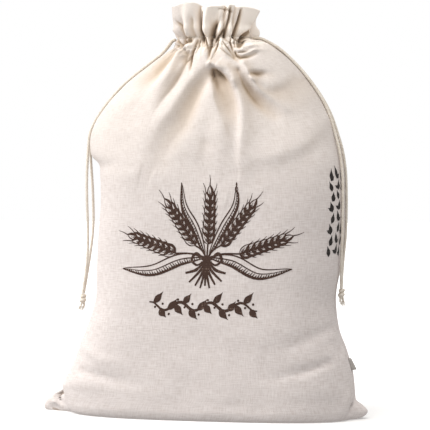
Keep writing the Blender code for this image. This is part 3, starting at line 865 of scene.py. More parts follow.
# %% The gathers of the casing
GATHER_WIDE = 0.0105
GATHERS_DEEP = {"front": 0.45, "back": 1.6}      # the front has more of its pleats in a table
CASING = (328.6, 337.0)
PINCH_COLUMNS = ("height", "depth", "width")
PINCHES = ((328.6, 1.2, 1.3), (337.0, 1.7, 1.4))
PUFF = {"height": 343.0, "depth": 1.5, "width": 3.6}
CRUMPLE = {"fine": 44.0, "tall": 4.5, "lean": 9.0, "height": 1.8}
GATHERED, SQUEEZED = ((317.0, 9.0), (337.0, 7.0)), ((323.0, 5.0), (336.0, 6.0))
GATHERS_OUT, CRUMPLE_IN = 0.8, 0.2       # both keep the middle of the cloth where it was
CRUMPLE_LAYER = {"front": 20.0, "back": 70.0}


def between(height, rise, fall):
    """1 between a rise and a fall, each given as a height and the length of its slope."""
    return ease((height - rise[0]) / rise[1]) * (1.0 - ease((height - fall[0]) / fall[1]))


def bump_at(place, height):
    """A round bump over heights, at a place given as height, depth and width."""
    return place["depth"] * math.exp(-(((height - place["height"]) / place["width"]) ** 2))


def gather_shape(side, height):
    """The fine gathers of the casing along one row: deep in the casing, fading beyond it."""
    table = rows(GATHER_COLUMNS, GATHERS[side])
    apart = (across[:, None] - table["across"][None, :]) / GATHER_WIDE
    valleys = (table["depth"][None, :] * np.exp(-(apart**2))).sum(axis=1)
    ridges = np.array([abs(noise.noise(Vector((
        place * CRUMPLE["fine"], height / CRUMPLE["tall"] + place * CRUMPLE["lean"],
        CRUMPLE_LAYER[side])))) for place in across])
    pinch = sum(bump_at(place, height) for place in named(PINCH_COLUMNS, PINCHES))
    return (between(height, *GATHERED) * (GATHERS_OUT - GATHERS_DEEP[side] * valleys)
            + between(height, *SQUEEZED) * (CRUMPLE["height"] * ridges - CRUMPLE_IN)
            - pinch + bump_at(PUFF, height))


print("casing from", CASING[0], "to", CASING[1], "mm")

# %% [markdown]
# ## Folds and creases
# From the neck the cloth is dragged down and outwards in long soft folds. Each one is a short
# chain of places on the face, from its upper end to its lower end, with a height: above zero
# it is a ridge, below zero a trough. Its left and right flank have their own widths, because
# a dragged fold leans over; `sharp` is 2 for a round crest and 1 for a pinched one, and `start`
# and `end` say how much of the height is left at the two ends. Adding a few dozen of them, in
# uneven pairs, gives the pulled look of real linen better than any even wave would.
# They come in three tables, from the broadest to the narrowest.

# %% Broad folds
FOLD_COLUMNS = ("height", "left", "right", "sharp", "start", "end", "route")
FOLDS = {
    "front": (
        (-5.6, 8, 5, 1.9, 0.8, 0.1, ((-24, 324), (-32, 313), (-38, 303), (-47, 296), (-60, 287))),
        (4.8, 5, 6, 2.4, 0.6, 0.1,
         ((-18, 324), (-23.3, 307), (-29.8, 297), (-37.7, 283), (-46, 271))),
        (-4.2, 2.4, 7, 1.5, 0.7, 0.1,
         ((-9, 314), (-13, 304), (-18, 295), (-25.5, 283), (-33, 271), (-38, 262))),
        (4.4, 12, 7.2, 1.9, 0.6, 0.35,
         ((10, 313), (2, 304.5), (-6.5, 294.5), (-13.5, 283), (-20, 272.5), (-29, 262), (-36, 251),
          (-40, 240), (-43, 228))),
        (-4, 13, 6, 1.8, 0.8, 0.3,
         ((15.5, 306), (9, 296), (3.5, 285), (-0.5, 276), (-3.5, 267.5), (-7, 259), (-13.5, 250),
          (-20, 241), (-25, 232), (-29, 224))),
        (2.2, 8.5, 6.5, 2, 0.3, 0.45, ((26, 276), (27.5, 262), (28, 248), (27.5, 226))),
        (-1.2, 5, 6, 2, 0.2, 0.4, ((13.5, 250), (12.6, 237), (11.5, 224))),
        (3.2, 9, 2.2, 1.8, 0.4, 0.2, ((16, 300), (17, 295), (18.6, 282), (23.5, 269), (29, 259))),
        (5.2, 4.5, 5, 2.4, 0.8, 0.6, ((14, 313), (26.6, 308), (35, 299))),
        (4.6, 2.5, 8, 1.7, 0.7, 0.3,
         ((34, 297), (38, 289), (41.5, 279), (43.6, 266), (44, 252), (43, 224))),
        (-4, 8.2, 7.4, 2.6, 0.9, 0.05, ((23, 303), (27.4, 291), (33, 276), (36, 260), (37, 240))),
        (4.8, 3.2, 5, 1.9, 0.7, 0.3, ((42, 312), (51, 297), (56.5, 290), (67.5, 281.5), (80, 273))),
        (-5.2, 3.2, 3.4, 1.5, 0.8, 0.3, ((38, 306), (44, 294), (51, 284), (60, 275), (72, 265))),
        (-3.4, 15, 5.5, 2, 0.9, 0.5, ((55, 293), (62, 287), (70, 285), (79, 288), (88, 296))),
        (3.4, 20, 8.5, 2, 0.2, 0.2,
         ((114, 262), (104, 251), (93, 241), (74, 234), (52, 230), (42, 221), (38, 209))),
        (-2.6, 4, 4, 2, 1, 0.2, ((-105, 229), (-101, 225), (-89, 224))),
        (-1.9, 5, 4, 2, 0.8, 0.2, ((-106, 41), (-74, 35), (-37, 31))),
        (1.6, 5, 4, 2, 0.5, 0.2, ((-112, 66), (-84, 52), (-50, 47))),
        (-1.9, 6, 4.5, 2, 0.8, 0.2, ((118, 81), (94, 69), (69, 63))),
    ),
    "back": (
        (4.6, 6, 5, 1.8, 0.6, 0.1, ((-20, 322), (-34, 303), (-48, 284), (-60, 262))),
        (-5.4, 5, 6, 1.8, 0.7, 0.1, ((-8, 316), (-14, 298), (-24, 276), (-36, 250))),
        (6.8, 7, 5, 1.8, 0.6, 0.1, ((4, 318), (3, 296), (-1, 262), (-8, 224))),
        (-5.6, 5, 6, 1.8, 0.7, 0.1, ((18, 312), (20, 290), (22, 268), (22, 240))),
        (6, 6, 5, 1.8, 0.6, 0.1, ((28, 316), (34, 296), (44, 268), (52, 232))),
        (-5.2, 5, 6, 1.8, 0.7, 0.1, ((42, 308), (54, 292), (66, 276), (80, 254))),
        (2.6, 14, 6, 2, 0.2, 0.2, ((-94, 252), (-70, 238), (-30, 232), (10, 226))),
        (-1.9, 5, 4.5, 2, 0.8, 0.2, ((-122, 40), (-100, 34), (-82, 30))),
    ),
}
print("broad folds on the front:", len(FOLDS["front"]))

# %% [markdown]
# ## Creases and pleats
# Broad folds alone look like a pillow. Creases are narrow ridges and troughs where the cloth
# is pulled hard: along the neck, in the shoulders and at the ears. Pleats are narrower still,
# a millimetre or two wide, where the cords nip the cloth; they are made a little deeper than
# the table says. Both use the same columns as the broad folds.

# %% Creases
CREASES = {
    "front": (
        (1.8, 1.6, 1.6, 1.7, 0.3, 0.6, ((24.6, 353), (21.7, 346), (18.9, 340))),
        (-2.4, 4.2, 4.2, 2, 1, 1, ((43.6, 348), (45.6, 348))),
        (1.6, 1.5, 1.5, 1.6, 0.7, 0.3, ((-17.3, 328), (-20.5, 320), (-25, 312))),
        (1.6, 1.2, 1.2, 1.6, 0.7, 0.3, ((2.4, 334), (2.9, 325), (3.6, 316))),
        (1.4, 1.2, 1.2, 1.6, 0.7, 0.3, ((20.5, 331), (22.5, 325), (26.5, 319.5))),
        (2.2, 1.8, 1.8, 1.6, 0.4, 0.3, ((13, 314), (14, 309))),
        (-4.4, 3.6, 1.5, 1.6, 0.8, 0.4, ((18.4, 307), (25.8, 301), (32, 294))),
        (-4, 2.8, 2, 1.8, 0.3, 1, ((20.5, 353), (17.5, 348), (15.1, 342), (14, 337))),
        (-3.6, 4, 4, 2, 0.8, 0.1, ((17, 302), (20, 294), (22, 284))),
        (-2.8, 2.2, 2, 1.6, 0.8, 0.2, ((-20, 321), (-26, 310), (-32, 299))),
        (-4.4, 2.6, 2.6, 1.8, 0.8, 0.8, ((-12, 325), (-8, 321), (-9, 317))),
        (-3.4, 3.4, 2.4, 1.8, 0.8, 0.2, ((49, 305), (59, 302.5), (67, 302))),
        (2, 2.6, 2.2, 1.7, 0.6, 0.2, ((47, 305), (52, 294), (60, 287), (67, 281), (77, 273))),
        (3, 2.4, 2.2, 1.8, 0.5, 0.2, ((41, 328), (48, 329), (56, 328))),
        (2.2, 1.4, 1.4, 1.8, 0.5, 0.2, ((42, 320.6), (50, 324.6), (60, 325))),
        (2.4, 2.2, 2, 1.8, 0.3, 0.3, ((-143, 9.5), (-136, 7.5), (-130, 4), (-124, 2.4))),
        (-3.4, 2.4, 2.2, 1.8, 0.8, 0.4, ((-142, 3), (-136, 1.8), (-130, 0.8))),
        (-2.6, 2.8, 2.4, 1.7, 0.9, 0.2, ((-137, 15), (-134, 11.5), (-130.8, 6.6), (-125, 4.4))),
        (2.6, 1.6, 5, 1.8, 0.6, 0.3, ((-126.5, 30), (-126, 20), (-124.4, 12))),
        (2, 4, 1.2, 1.8, 0.6, 0.5, ((133.8, 26), (133.4, 16), (131.6, 7))),
        (-1.4, 2.8, 1.9, 1.7, 0.4, 0.9, ((90, 41), (100.9, 45.8), (109, 49), (117, 53))),
        (-1.1, 2.4, 1.9, 1.7, 0.3, 0.9, ((121, 60.5), (126, 62.8), (130, 66))),
        (-2.2, 3.2, 2, 1.6, 0.9, 0.1, ((119, 52), (103, 48), (81, 41), (62, 36))),
        (-1.6, 1.8, 1.6, 1.6, 0.9, 0.2, ((126, 69), (121, 68), (112, 64))),
        (1.5, 2.5, 2.5, 1.8, 0.3, 0.2, ((-24, 318), (-31, 306), (-40, 297))),
        (2.8, 1.7, 2.4, 1.6, 0.5, 0.3, ((16.7, 312), (23.8, 306.6), (30.4, 299.8), (35.6, 292.8))),
        (1.2, 7, 7, 2, 0.3, 0.2, ((-46, 296), (-66, 276), (-84, 258))),
    ),
    "back": (
        (-2.4, 5, 6, 1.8, 0.7, 0.1, ((-30, 300), (-50, 280), (-70, 262))),
        (-2.8, 5, 6, 1.8, 0.7, 0.1, ((56, 306), (76, 290), (96, 270))),
        (1.6, 2.4, 2.4, 1.8, 0.5, 0.2, ((-12, 306), (-18, 288), (-28, 268))),
    ),
}
print("creases on the front:", len(CREASES["front"]))

# %% Pleats
PLEATS = {
    "front": (
        (-5.4, 1.5, 1.3, 1.5, 0.7, 0.9, ((4.8, 361), (3.6, 351), (2.8, 343), (4.5, 335))),
        (-3.8, 1, 1, 1.4, 0.7, 0.9, ((28.7, 361), (27.1, 352), (25.1, 345), (23.1, 337))),
        (-4.2, 1.1, 1.1, 1.4, 0.7, 0.9, ((37.6, 360), (35.3, 350), (33.3, 344), (31.4, 337))),
        (-2.2, 0.8, 0.9, 1.4, 0.8, 0.8, ((19, 361.5), (24.2, 360.2), (29.1, 357.7))),
        (-3.4, 1.2, 2.2, 1.5, 0.4, 1, ((42.6, 346), (41.2, 342), (39.4, 338.5), (37, 334.5))),
        (-2.6, 1.5, 1.3, 1.6, 0.2, 1, ((-20.8, 354), (-16.2, 348), (-13.1, 340))),
        (-2.4, 1.4, 1.2, 1.6, 0.2, 1, ((-27.5, 352), (-26, 346), (-21.5, 338))),
        (-1.8, 2.2, 1.6, 1.8, 0.2, 1, ((-4.5, 356), (-4.3, 345), (-3.5, 338))),
        (-2.6, 1, 0.8, 1.5, 0.1, 1, ((18.5, 350), (16.5, 346), (14.6, 341), (14, 337))),
        (-2.6, 1.8, 0.7, 1.3, 0.9, 0.4, ((18.4, 307.6), (25.8, 301.8), (32, 294.5))),
        (-4, 0.9, 1.1, 1.4, 0.9, 0.6, ((-137.4, 16.2), (-134, 16.8), (-130, 17.4))),
        (-3.6, 0.9, 1.1, 1.4, 0.9, 0.6, ((-135.8, 14.6), (-132, 15.4), (-127.6, 16))),
        (-2.6, 1.1, 1, 1.4, 0.9, 0.2, ((-137, 15), (-134.2, 11), (-131, 6.4))),
        (-3, 1.6, 1.4, 1.6, 0.9, 0.6, ((-140, 1.8), (-135, 0.9), (-130, 0.6))),
        (-3.4, 0.8, 1.3, 1.4, 0.9, 0.4, ((137.3, 15), (135.5, 11.5), (134.2, 6.4))),
        (-1.8, 4.2, 1.4, 1.5, 1, 0.1, ((49, 303.5), (56, 303.5), (66, 305))),
        (-2.4, 0.8, 1.2, 1.4, 0.9, 0.4, ((15.4, 307), (16.2, 302), (16.9, 296))),
        (-3, 1, 1, 1.5, 0.6, 0.9, ((22.5, 343), (20.6, 339), (17.5, 334))),
        (-2.8, 1.2, 1.2, 1.6, 0.4, 0.9, ((40.6, 340), (38.5, 335), (37.8, 329))),
        (-4.4, 1.5, 1.5, 1.7, 1, 1, ((-10.9, 332), (-6.9, 333.2))),
        (-3, 1.2, 1.2, 1.6, 1, 1, ((-22.6, 330.4), (-20.8, 329))),
        (-2.4, 0.8, 0.8, 1.5, 1, 1, ((-13.1, 336.2), (-7, 336.3))),
        (-2.8, 0.9, 0.9, 1.4, 0.9, 0.9, ((-21.6, 335.2), (-19.7, 332.2), (-16.7, 329.1))),
        (-2.2, 0.8, 0.8, 1.4, 0.9, 0.7, ((-14.2, 335.4), (-15.4, 330.5), (-17.5, 326))),
        (-3, 0.9, 0.9, 1.4, 0.8, 0.3, ((-1.1, 334), (-3.4, 328), (-4.6, 323), (-5.9, 316))),
        (-2.4, 0.8, 0.8, 1.4, 0.8, 0.3, ((0.8, 334), (0.5, 328), (-1.2, 322))),
        (-2.6, 0.9, 0.9, 1.4, 0.8, 0.4, ((4.5, 335.4), (5.7, 330.9), (8.4, 323.4))),
        (-2.6, 0.9, 0.9, 1.4, 0.8, 0.6, ((7.3, 334.5), (9.9, 326))),
        (-5.2, 1.3, 1.2, 1.4, 0.8, 0.3, ((11.9, 334), (12.4, 329), (11.6, 323), (11.4, 315))),
        (-2.8, 0.9, 0.9, 1.4, 0.7, 0.4, ((21.5, 341.3), (17.1, 334.3), (14.3, 327))),
        (-3.2, 0.9, 0.9, 1.4, 0.8, 0.3, ((18.9, 333.4), (17.9, 327.8), (16.4, 322.5), (14.2, 316.5))),
        (-2.8, 0.9, 0.9, 1.4, 0.8, 0.3, ((22.6, 332), (27.8, 325.5), (31.8, 320.2), (37, 315.5))),
        (-2.8, 0.9, 0.9, 1.4, 0.8, 0.3, ((28.2, 335.3), (30.1, 328.7), (32.4, 323), (34, 317))),
        (-2.6, 0.8, 0.8, 1.4, 0.8, 0.8, ((31.4, 335.3), (33.7, 327))),
        (-2.4, 0.8, 0.8, 1.4, 0.8, 0.8, ((33.8, 334.5), (36.2, 327))),
        (-2.6, 0.9, 0.9, 1.4, 0.8, 0.8, ((37.1, 333.7), (37.8, 328))),
        (-3, 1, 1, 1.4, 0.9, 0.6, ((41.8, 333), (40.4, 330), (38, 326.8))),
        (-2.6, 1, 1, 1.4, 0.9, 0.4, ((37.5, 322.4), (42.7, 322.7), (46, 323.6))),
        (-3.6, 1.3, 1.6, 1.5, 0.8, 0.4, ((34.6, 322), (36, 319), (39.6, 317), (46, 318), (52, 321))),
        (-2.4, 1, 1.7, 1.4, 0.8, 0.2, ((-6, 319), (-5, 311), (-4, 302))),
        (-1.8, 1.1, 0.9, 1.4, 0.9, 0.3, ((21, 326), (30, 319), (39, 313), (46, 309))),
        (-2.4, 0.8, 0.8, 1.4, 0.6, 0.5, ((-22.5, 339.4), (-19.2, 332.6), (-16.4, 328.1))),
        (-2.2, 0.7, 0.7, 1.4, 0.5, 0.7, ((-14.2, 339), (-15.3, 333.6))),
        (-2.2, 0.8, 0.8, 1.4, 0.6, 0.4, ((6.4, 339), (7.4, 332.6), (10, 326.1))),
        (-2.2, 0.8, 0.9, 1.4, 0.7, 0.3, ((-0.5, 332), (-3.7, 323.8), (-5.1, 315.6), (-4.7, 307.4))),
    ),
    "back": (
        (-2.4, 1.3, 1.3, 1.5, 0.9, 0.2, ((-14, 334), (-16, 324), (-18, 314))),
        (-2.4, 1.3, 1.3, 1.5, 0.9, 0.2, ((-4, 334), (-5, 322), (-6, 312))),
        (-2.6, 1.3, 1.3, 1.5, 0.9, 0.2, ((9, 334), (8.6, 324), (8, 315))),
        (-2.4, 1.3, 1.3, 1.5, 0.9, 0.2, ((22, 334), (24, 322), (25, 312))),
        (-2.4, 1.4, 1.4, 1.5, 0.9, 0.2, ((33, 333), (36, 324), (38, 316))),
    ),
}
PLEATS_DEEPER = 1.3
print("pleats on the front:", len(PLEATS["front"]))

# %% The relief of a table of folds
FOLD_MIDDLE = 0.3        # where along a fold it is highest


def fold_relief(table, x, z):
    """The height of all folds of a table together, at points on the face."""
    total = np.zeros_like(x)
    every = np.arange(len(x))
    for fold in named(FOLD_COLUMNS, table):
        route = np.array(fold["route"], dtype=float)
        steps, starts = np.diff(route, axis=0), way_along(route)
        lengths = np.diff(starts)
        from_x, from_z = x[:, None] - route[None, :-1, 0], z[:, None] - route[None, :-1, 1]
        part = np.clip((from_x * steps[:, 0] + from_z * steps[:, 1]) / lengths**2, 0.0, 1.0)
        gap = np.hypot(from_x - part * steps[:, 0], from_z - part * steps[:, 1])
        turned_left = from_x * steps[:, 1] - from_z * steps[:, 0] > 0.0
        near = np.argmin(gap, axis=1)
        share = (starts[near] + part[every, near] * lengths[near]) / starts[-1]
        width = np.where(turned_left[every, near], fold["left"], fold["right"]) * (0.75 + 0.6 * share)
        rising = ease(share / FOLD_MIDDLE)
        falling = 1.0 - ease((share - FOLD_MIDDLE) / (1.0 - FOLD_MIDDLE))
        left_over = np.where(share < FOLD_MIDDLE, fold["start"] + (1.0 - fold["start"]) * rising,
                             fold["end"] + (1.0 - fold["end"]) * falling)
        total += fold["height"] * left_over * np.exp(-((gap[every, near] / width) ** fold["sharp"]))
    return total


print("a fold is highest at", FOLD_MIDDLE, "of its length")

# %% [markdown]
# ## One panel, row by row
# A row takes its outline from the sections, then the frill, the gathers, the folds and a
# little unevenness push every point outwards or inwards. Close to a side seam the cloth is
# drawn in by the stitching, with small puckers. The same function makes the front and the
# back; the back is mirrored to the other side of the seam.
#
# The finish paints shade into the cloth's colour, and it needs to know where cloth lies in
# shade; the shape is known best here. So each point also gets a share of painted shade from
# 0 to 1. It comes from three places: troughs; the sides of folds that are turned from the
# window, which only the cloth beside them lights; and the bottoms of pleats, too narrow for a
# real shadow to be deep enough.

# %% The swell and the shade of a row
SWELL_COLUMNS = ("tall", "wide", "high", "seed")
SWELLS = ((1.1, 42.0, 34.0, 0.0), (0.22, 13.0, 10.0, 9.0))
# the shares of painted shade, from troughs, turned sides and pleat bottoms
# how much frill and folds count, the depth in millimetres for a full share, and the most of it
TROUGH_FRILL, TROUGH_FOLDS, TROUGH_DEEP, TROUGH_MOST = 0.38, 0.6, 6.0, 0.6
TURNED_MOST, TURNED_SHARE = 0.8, 0.36    # the steepest slope that counts, and its share
PLEAT_FROM, PLEAT_DEEP, PLEAT_SHARE = 0.6, 2.1, 0.82


def unevenness(side, x, height):
    """The small random swell of hand-filled cloth, the same on every run."""
    shift = 0.0 if side == "front" else 50.0
    total = np.zeros_like(x)
    for swell in named(SWELL_COLUMNS, SWELLS):
        up, layer = height / swell["high"], shift + swell["seed"]
        total += swell["tall"] * np.array(
            [noise.noise(Vector((place / swell["wide"], up, layer))) for place in x])
    return total


def shade_share(frill, folds, pleats, x, y):
    """How much shade is painted on each point of a row, from 0 to 1."""
    steepness = -np.gradient(folds) / np.hypot(*np.gradient((x, y), axis=1))
    troughs = -(TROUGH_FRILL * frill + TROUGH_FOLDS * folds) / TROUGH_DEEP
    bottoms = (-pleats - PLEAT_FROM) / PLEAT_DEEP
    return np.minimum(np.clip(troughs, 0.0, TROUGH_MOST)
                      + TURNED_SHARE * np.clip(steepness, 0.0, TURNED_MOST)
                      + PLEAT_SHARE * np.clip(bottoms, 0.0, 1.0), 1.0)


print("largest swell:", sum(row[0] for row in SWELLS), "mm")

# %% Placing the cloth
FLAT_WIDE = 300.0
BASE_ROWS = 5
SEAM_FADE = 0.045        # share of the width in which folds die out towards a side seam
GATHER_FADE = 0.03
LOW_FADE, LOW_FADE_TO = 0.4, 30.0        # at the ears they run nearly up to the seam
FOLDS_FROM, SWELL_FROM = 9.0, 12.0       # millimetres above the floor
PUCKER_DEEP, PUCKER_WIDE = 0.9, 1.7
PUCKER_WAVES = (1.7, 4.9)


def cloth_row(side, index):
    """The points of one row, and the share of painted shade of each."""
    form = {name: values[index] for name, values in row_form.items()}
    height = (form["z_left"] + form["z_right"]) / 2.0
    x, y, out_x, out_y = evenly_along(*row_outline(form, height))
    share = np.clip((x - form["x_left"]) / (form["x_right"] - form["x_left"]), 0.0, 1.0)
    z = form["z_left"] + (form["z_right"] - form["z_left"]) * share
    frill, slide, lift = frill_shape(side, height)
    near_seam = np.minimum(across, 1.0 - across)
    inside = ease(near_seam / (SEAM_FADE * (1.0 if height > LOW_FADE_TO else LOW_FADE)))
    folds = (fold_relief(FOLDS[side], x, z) + fold_relief(CREASES[side], x, z)) * inside
    pleats = fold_relief(PLEATS[side], x, z) * inside
    relief = frill + gather_shape(side, height) * ease(near_seam / GATHER_FADE)
    relief += (folds + PLEATS_DEEPER * pleats) * ease(height / FOLDS_FROM)
    relief += unevenness(side, x, height) * inside * ease(height / SWELL_FROM)
    fast, slow = height / PUCKER_WAVES[0], height / PUCKER_WAVES[1]
    pucker = 0.65 + 0.35 * math.sin(fast) * math.sin(slow + 1.0)
    relief -= PUCKER_DEEP * pucker * np.exp(-((near_seam * FLAT_WIDE / PUCKER_WIDE) ** 2))
    points = np.stack((x + relief * out_x + slide * out_y,
                       np.maximum(y + relief * out_y - slide * out_x, 0.0), z + lift), axis=1)
    points[0, 1] = points[-1, 1] = 0.0
    return points, shade_share(frill, folds, pleats, x, y)


def cloth_face(side):
    """All rows of a panel's outer face, from the bottom seam to the rim."""
    placed = [cloth_row(side, index) for index in range(len(row_travel))]
    face = np.array([points for points, _ in placed])
    shade = np.array([share for _, share in placed])
    floor_edge = face[0]
    seam = np.zeros_like(floor_edge)
    seam[:, 0] = (floor_edge[0, 0] + EAR_ROUNDING
                  + (floor_edge[-1, 0] - floor_edge[0, 0] - 2.0 * EAR_ROUNDING) * across)
    base = [seam + (floor_edge - seam) * step / BASE_ROWS for step in range(BASE_ROWS)]
    return (np.concatenate((np.array(base), face)),
            np.concatenate((np.zeros((BASE_ROWS, COLUMN_COUNT)), shade)))


faces_of_cloth = {side: cloth_face(side) for side in ("front", "back")}
for side, (face, shade) in faces_of_cloth.items():
    print(side, "points:", face.shape[:2], "top at", round(float(face[:, :, 2].max()), 1), "mm")

# %% [markdown]
# ## From a face to a sheet of cloth
# Cloth with no thickness looks like paper at its edges. Each panel gets an inner face, about a
# millimetre behind the outer one, and the two are joined over the rim by a small roll, as the
# folded hem of the real heading. Solidify could do this, but then the rim would be sharp and
# the inside could cross the other panel; here the inner points are held on their own side.

# %% Outer face, rolled rim and inner face
CLOTH_THICK = 1.1
CLEAR_OF_SEAM = 0.03
RIM_TURNS = (math.radians(40.0), math.radians(90.0), math.radians(140.0))


def outward(face):
    """The outward direction at each point of a face."""
    normal = np.cross(np.gradient(face, axis=0), np.gradient(face, axis=1))
    return normal / np.maximum(np.linalg.norm(normal, axis=2), 1e-9)[:, :, None]


def sheet_rows(face):
    """Rows that run up the outer face, over the rim and down the inner face."""
    normal = outward(face)
    inner = face - normal * CLOTH_THICK
    inner[:, :, 1] = np.maximum(inner[:, :, 1], CLEAR_OF_SEAM)
    inner[:, :, 2] = np.maximum(inner[:, :, 2], CLOTH_THICK)
    middle, reach = (face[-1] + inner[-1]) / 2.0, (face[-1] - inner[-1]) / 2.0
    rim = [middle + math.cos(turn) * reach + np.array((0.0, 0.0, math.sin(turn) * CLOTH_THICK / 2.0))
           for turn in RIM_TURNS]
    return np.concatenate((face, np.array(rim), inner[::-1]))


sheets = {side: sheet_rows(face) for side, (face, _) in faces_of_cloth.items()}
print("rows up, over and down:", len(sheets["front"]))

# %% [markdown]
# ## The linen
# Unbleached linen is a warm off-white plain weave. The threads stand up a little, so light
# catches them, and slubs give it the mottled, slightly striped tone. The gaps between the
# threads get a little painted shade.
#
# Light that passes between and through layers of cloth is painted into the colour, with its
# shade. It could be left to a translucent shader, but that is slow and grainy. On the upper
# cloth, where the bag is drawn together, shaded sides and hollows get a warm painted shade,
# and the deepest pleats get a brown painted shade; all of the upper cloth is also tinted a
# little more cream. Above the cords the frill gets painted light and is nearly white, standing
# in for the light that comes through it from behind, except at the end that faces the window,
# which is lit from outside.

# %% Nodes for the linen
def mixed(tree, share, first, second):
    """Two colours mixed by a share; each may be a socket or a plain colour."""
    node = tree.nodes.new("ShaderNodeMix")
    node.data_type = "RGBA"
    for index, value in ((0, share), (6, first), (7, second)):
        if isinstance(value, tuple):
            node.inputs[index].default_value = (*value, 1.0)
        else:
            tree.links.new(value, node.inputs[index])
    return node.outputs[2]


def woven(tree, threads, slubs):
    """The plain weave group on the cloth's own map."""
    node = tree.nodes.new("ShaderNodeGroup")
    node.node_tree = plain_weave
    node.inputs["Threads per metre"].default_value = threads
    node.inputs["Slubs"].default_value = slubs
    tree.links.new(uv_place(tree, "threads"), node.inputs["Place"])
    return node


def range_share(tree, value, start, end):
    """0 below a start value, 1 above an end value, and a smooth step between them."""
    node = tree.nodes.new("ShaderNodeMapRange")
    node.interpolation_type = "SMOOTHSTEP"
    tree.links.new(value, node.inputs["Value"])
    node.inputs["From Min"].default_value = start
    node.inputs["From Max"].default_value = end
    return node.outputs["Result"]


print("linen helpers ready")

# %% Linen finish
LINEN_THREADS = 1180.0                   # in a metre of cloth
LINEN_LIGHT = (0.722, 0.671, 0.649)
LINEN_MIDDLE = (0.650, 0.594, 0.573)
# the linen's darkest thread tone, also mixed into the weave's gaps as painted shade
LINEN_DARK_TONE_AND_GAP_SHADE = (0.554, 0.492, 0.463)
# painted warm shade: stands in for light bounced between folds onto shaded sides and hollows
LINEN_PAINTED_WARM_SHADE = (0.53, 0.41, 0.29)
# painted shade: dark brown at the bottoms of the deepest pleats
LINEN_PAINTED_PIT_SHADE = (0.265, 0.20, 0.155)
LINEN_CREAM = (0.684, 0.620, 0.534)
# painted light: the frill made nearly white, standing in for light through it from behind
LINEN_PAINTED_FRILL_LIGHT = (0.98, 0.90, 0.82)
CREAM_FROM_TO = (0.20, 0.34)             # metres up the flat cloth
FRILL_LIT_FROM_TO = (0.372, 0.398)
FRILL_LIT_ACROSS = (0.045, 0.14)         # metres across it, from the side of the window
GAP_PAINTED_SHADE_SHARE, CREAM_SHARE, PAINTED_FRILL_LIGHT_SHARE, PAINTED_WARM_SHADE_SHARE = 0.35, 0.28, 0.95, 1.3
# how the painted pit shade grows with the share of painted shade
PAINTED_PIT_SHADE_SLOPE, PAINTED_PIT_SHADE_OFFSET = 1.5, -0.7

linen, tree, shader = blank_finish("unbleached linen", roughness=0.92)
weave = woven(tree, LINEN_THREADS, slubs=0.62)
# the share of painted shade that each point of the cloth carries, from cloth_row
painted_shade_share = tree.nodes.new("ShaderNodeAttribute")
painted_shade_share.attribute_name = "painted_shade_share"
shade = painted_shade_share.outputs["Fac"]
cloth_place = tree.nodes.new("ShaderNodeSeparateXYZ")
tree.links.new(uv_place(tree, "threads"), cloth_place.inputs["Vector"])
across_cloth, up_cloth = cloth_place.outputs["X"], cloth_place.outputs["Y"]
upper = range_share(tree, up_cloth, *CREAM_FROM_TO)
painted_frill_light = calculate(tree, "MULTIPLY", range_share(tree, up_cloth, *FRILL_LIT_FROM_TO),
                     range_share(tree, across_cloth, *FRILL_LIT_ACROSS))
warm_shade = calculate(tree, "MULTIPLY", shade, PAINTED_WARM_SHADE_SHARE)
tone = colour_ramp(tree, weave.outputs["Tone"], (
    (0.18, LINEN_DARK_TONE_AND_GAP_SHADE), (0.50, LINEN_MIDDLE), (0.80, LINEN_LIGHT)))
# mixed in turn: painted shade in the gaps, a cream tint up high, painted light in the frill, warm
# painted shade and brown painted shade
for share, colour in (
        (calculate(tree, "MULTIPLY", weave.outputs["Gaps"], GAP_PAINTED_SHADE_SHARE), LINEN_DARK_TONE_AND_GAP_SHADE),
        (calculate(tree, "MULTIPLY", upper, CREAM_SHARE), LINEN_CREAM),
        (calculate(tree, "MULTIPLY", painted_frill_light, PAINTED_FRILL_LIGHT_SHARE), LINEN_PAINTED_FRILL_LIGHT),
        (calculate(tree, "MULTIPLY", warm_shade, upper, clamp=True), LINEN_PAINTED_WARM_SHADE),
        (calculate(tree, "MULTIPLY_ADD", shade, PAINTED_PIT_SHADE_SLOPE, PAINTED_PIT_SHADE_OFFSET, clamp=True), LINEN_PAINTED_PIT_SHADE)):
    tone = mixed(tree, share, tone, colour)
tree.links.new(tone, shader.inputs["Base Color"])
bumped(tree, shader, weave.outputs["Height"], strength=0.35, distance=0.0005)
print("linen finish nodes:", len(tree.nodes))

# %% Maps of a sheet
BASE_DEEP = section["depth"][0]
RIM_TRAVEL = np.array((0.3, 0.6, 0.9))
# the bake map: outer face, rim and inner face from bottom to top, and side edges in a strip
MAP_OUTER, MAP_RIM, MAP_INNER = 0.84, 0.855, 0.985
MAP_WIDE = 0.965
MAP_BOTTOM_EDGE = 0.988
MAP_SIDE_EDGES = (0.97, 0.985)
MAP_EDGE_WIDE = 0.01


def sheet_maps():
    """For each row of a sheet: its place up the cloth in metres, and its place on the bake map."""
    base = -BASE_DEEP * (1.0 - np.arange(BASE_ROWS) / BASE_ROWS)
    up = np.concatenate((base, row_travel))
    travel = (np.concatenate((up, up[-1] + RIM_TRAVEL, up[::-1])) + BASE_DEEP) * MM
    share = (up - up[0]) / (up[-1] - up[0])
    rim = np.linspace(MAP_OUTER, MAP_RIM, len(RIM_TRAVEL) + 2)[1:-1]
    bake = np.concatenate((share * MAP_OUTER, rim, MAP_RIM + (MAP_INNER - MAP_RIM) * share))
    return travel, bake


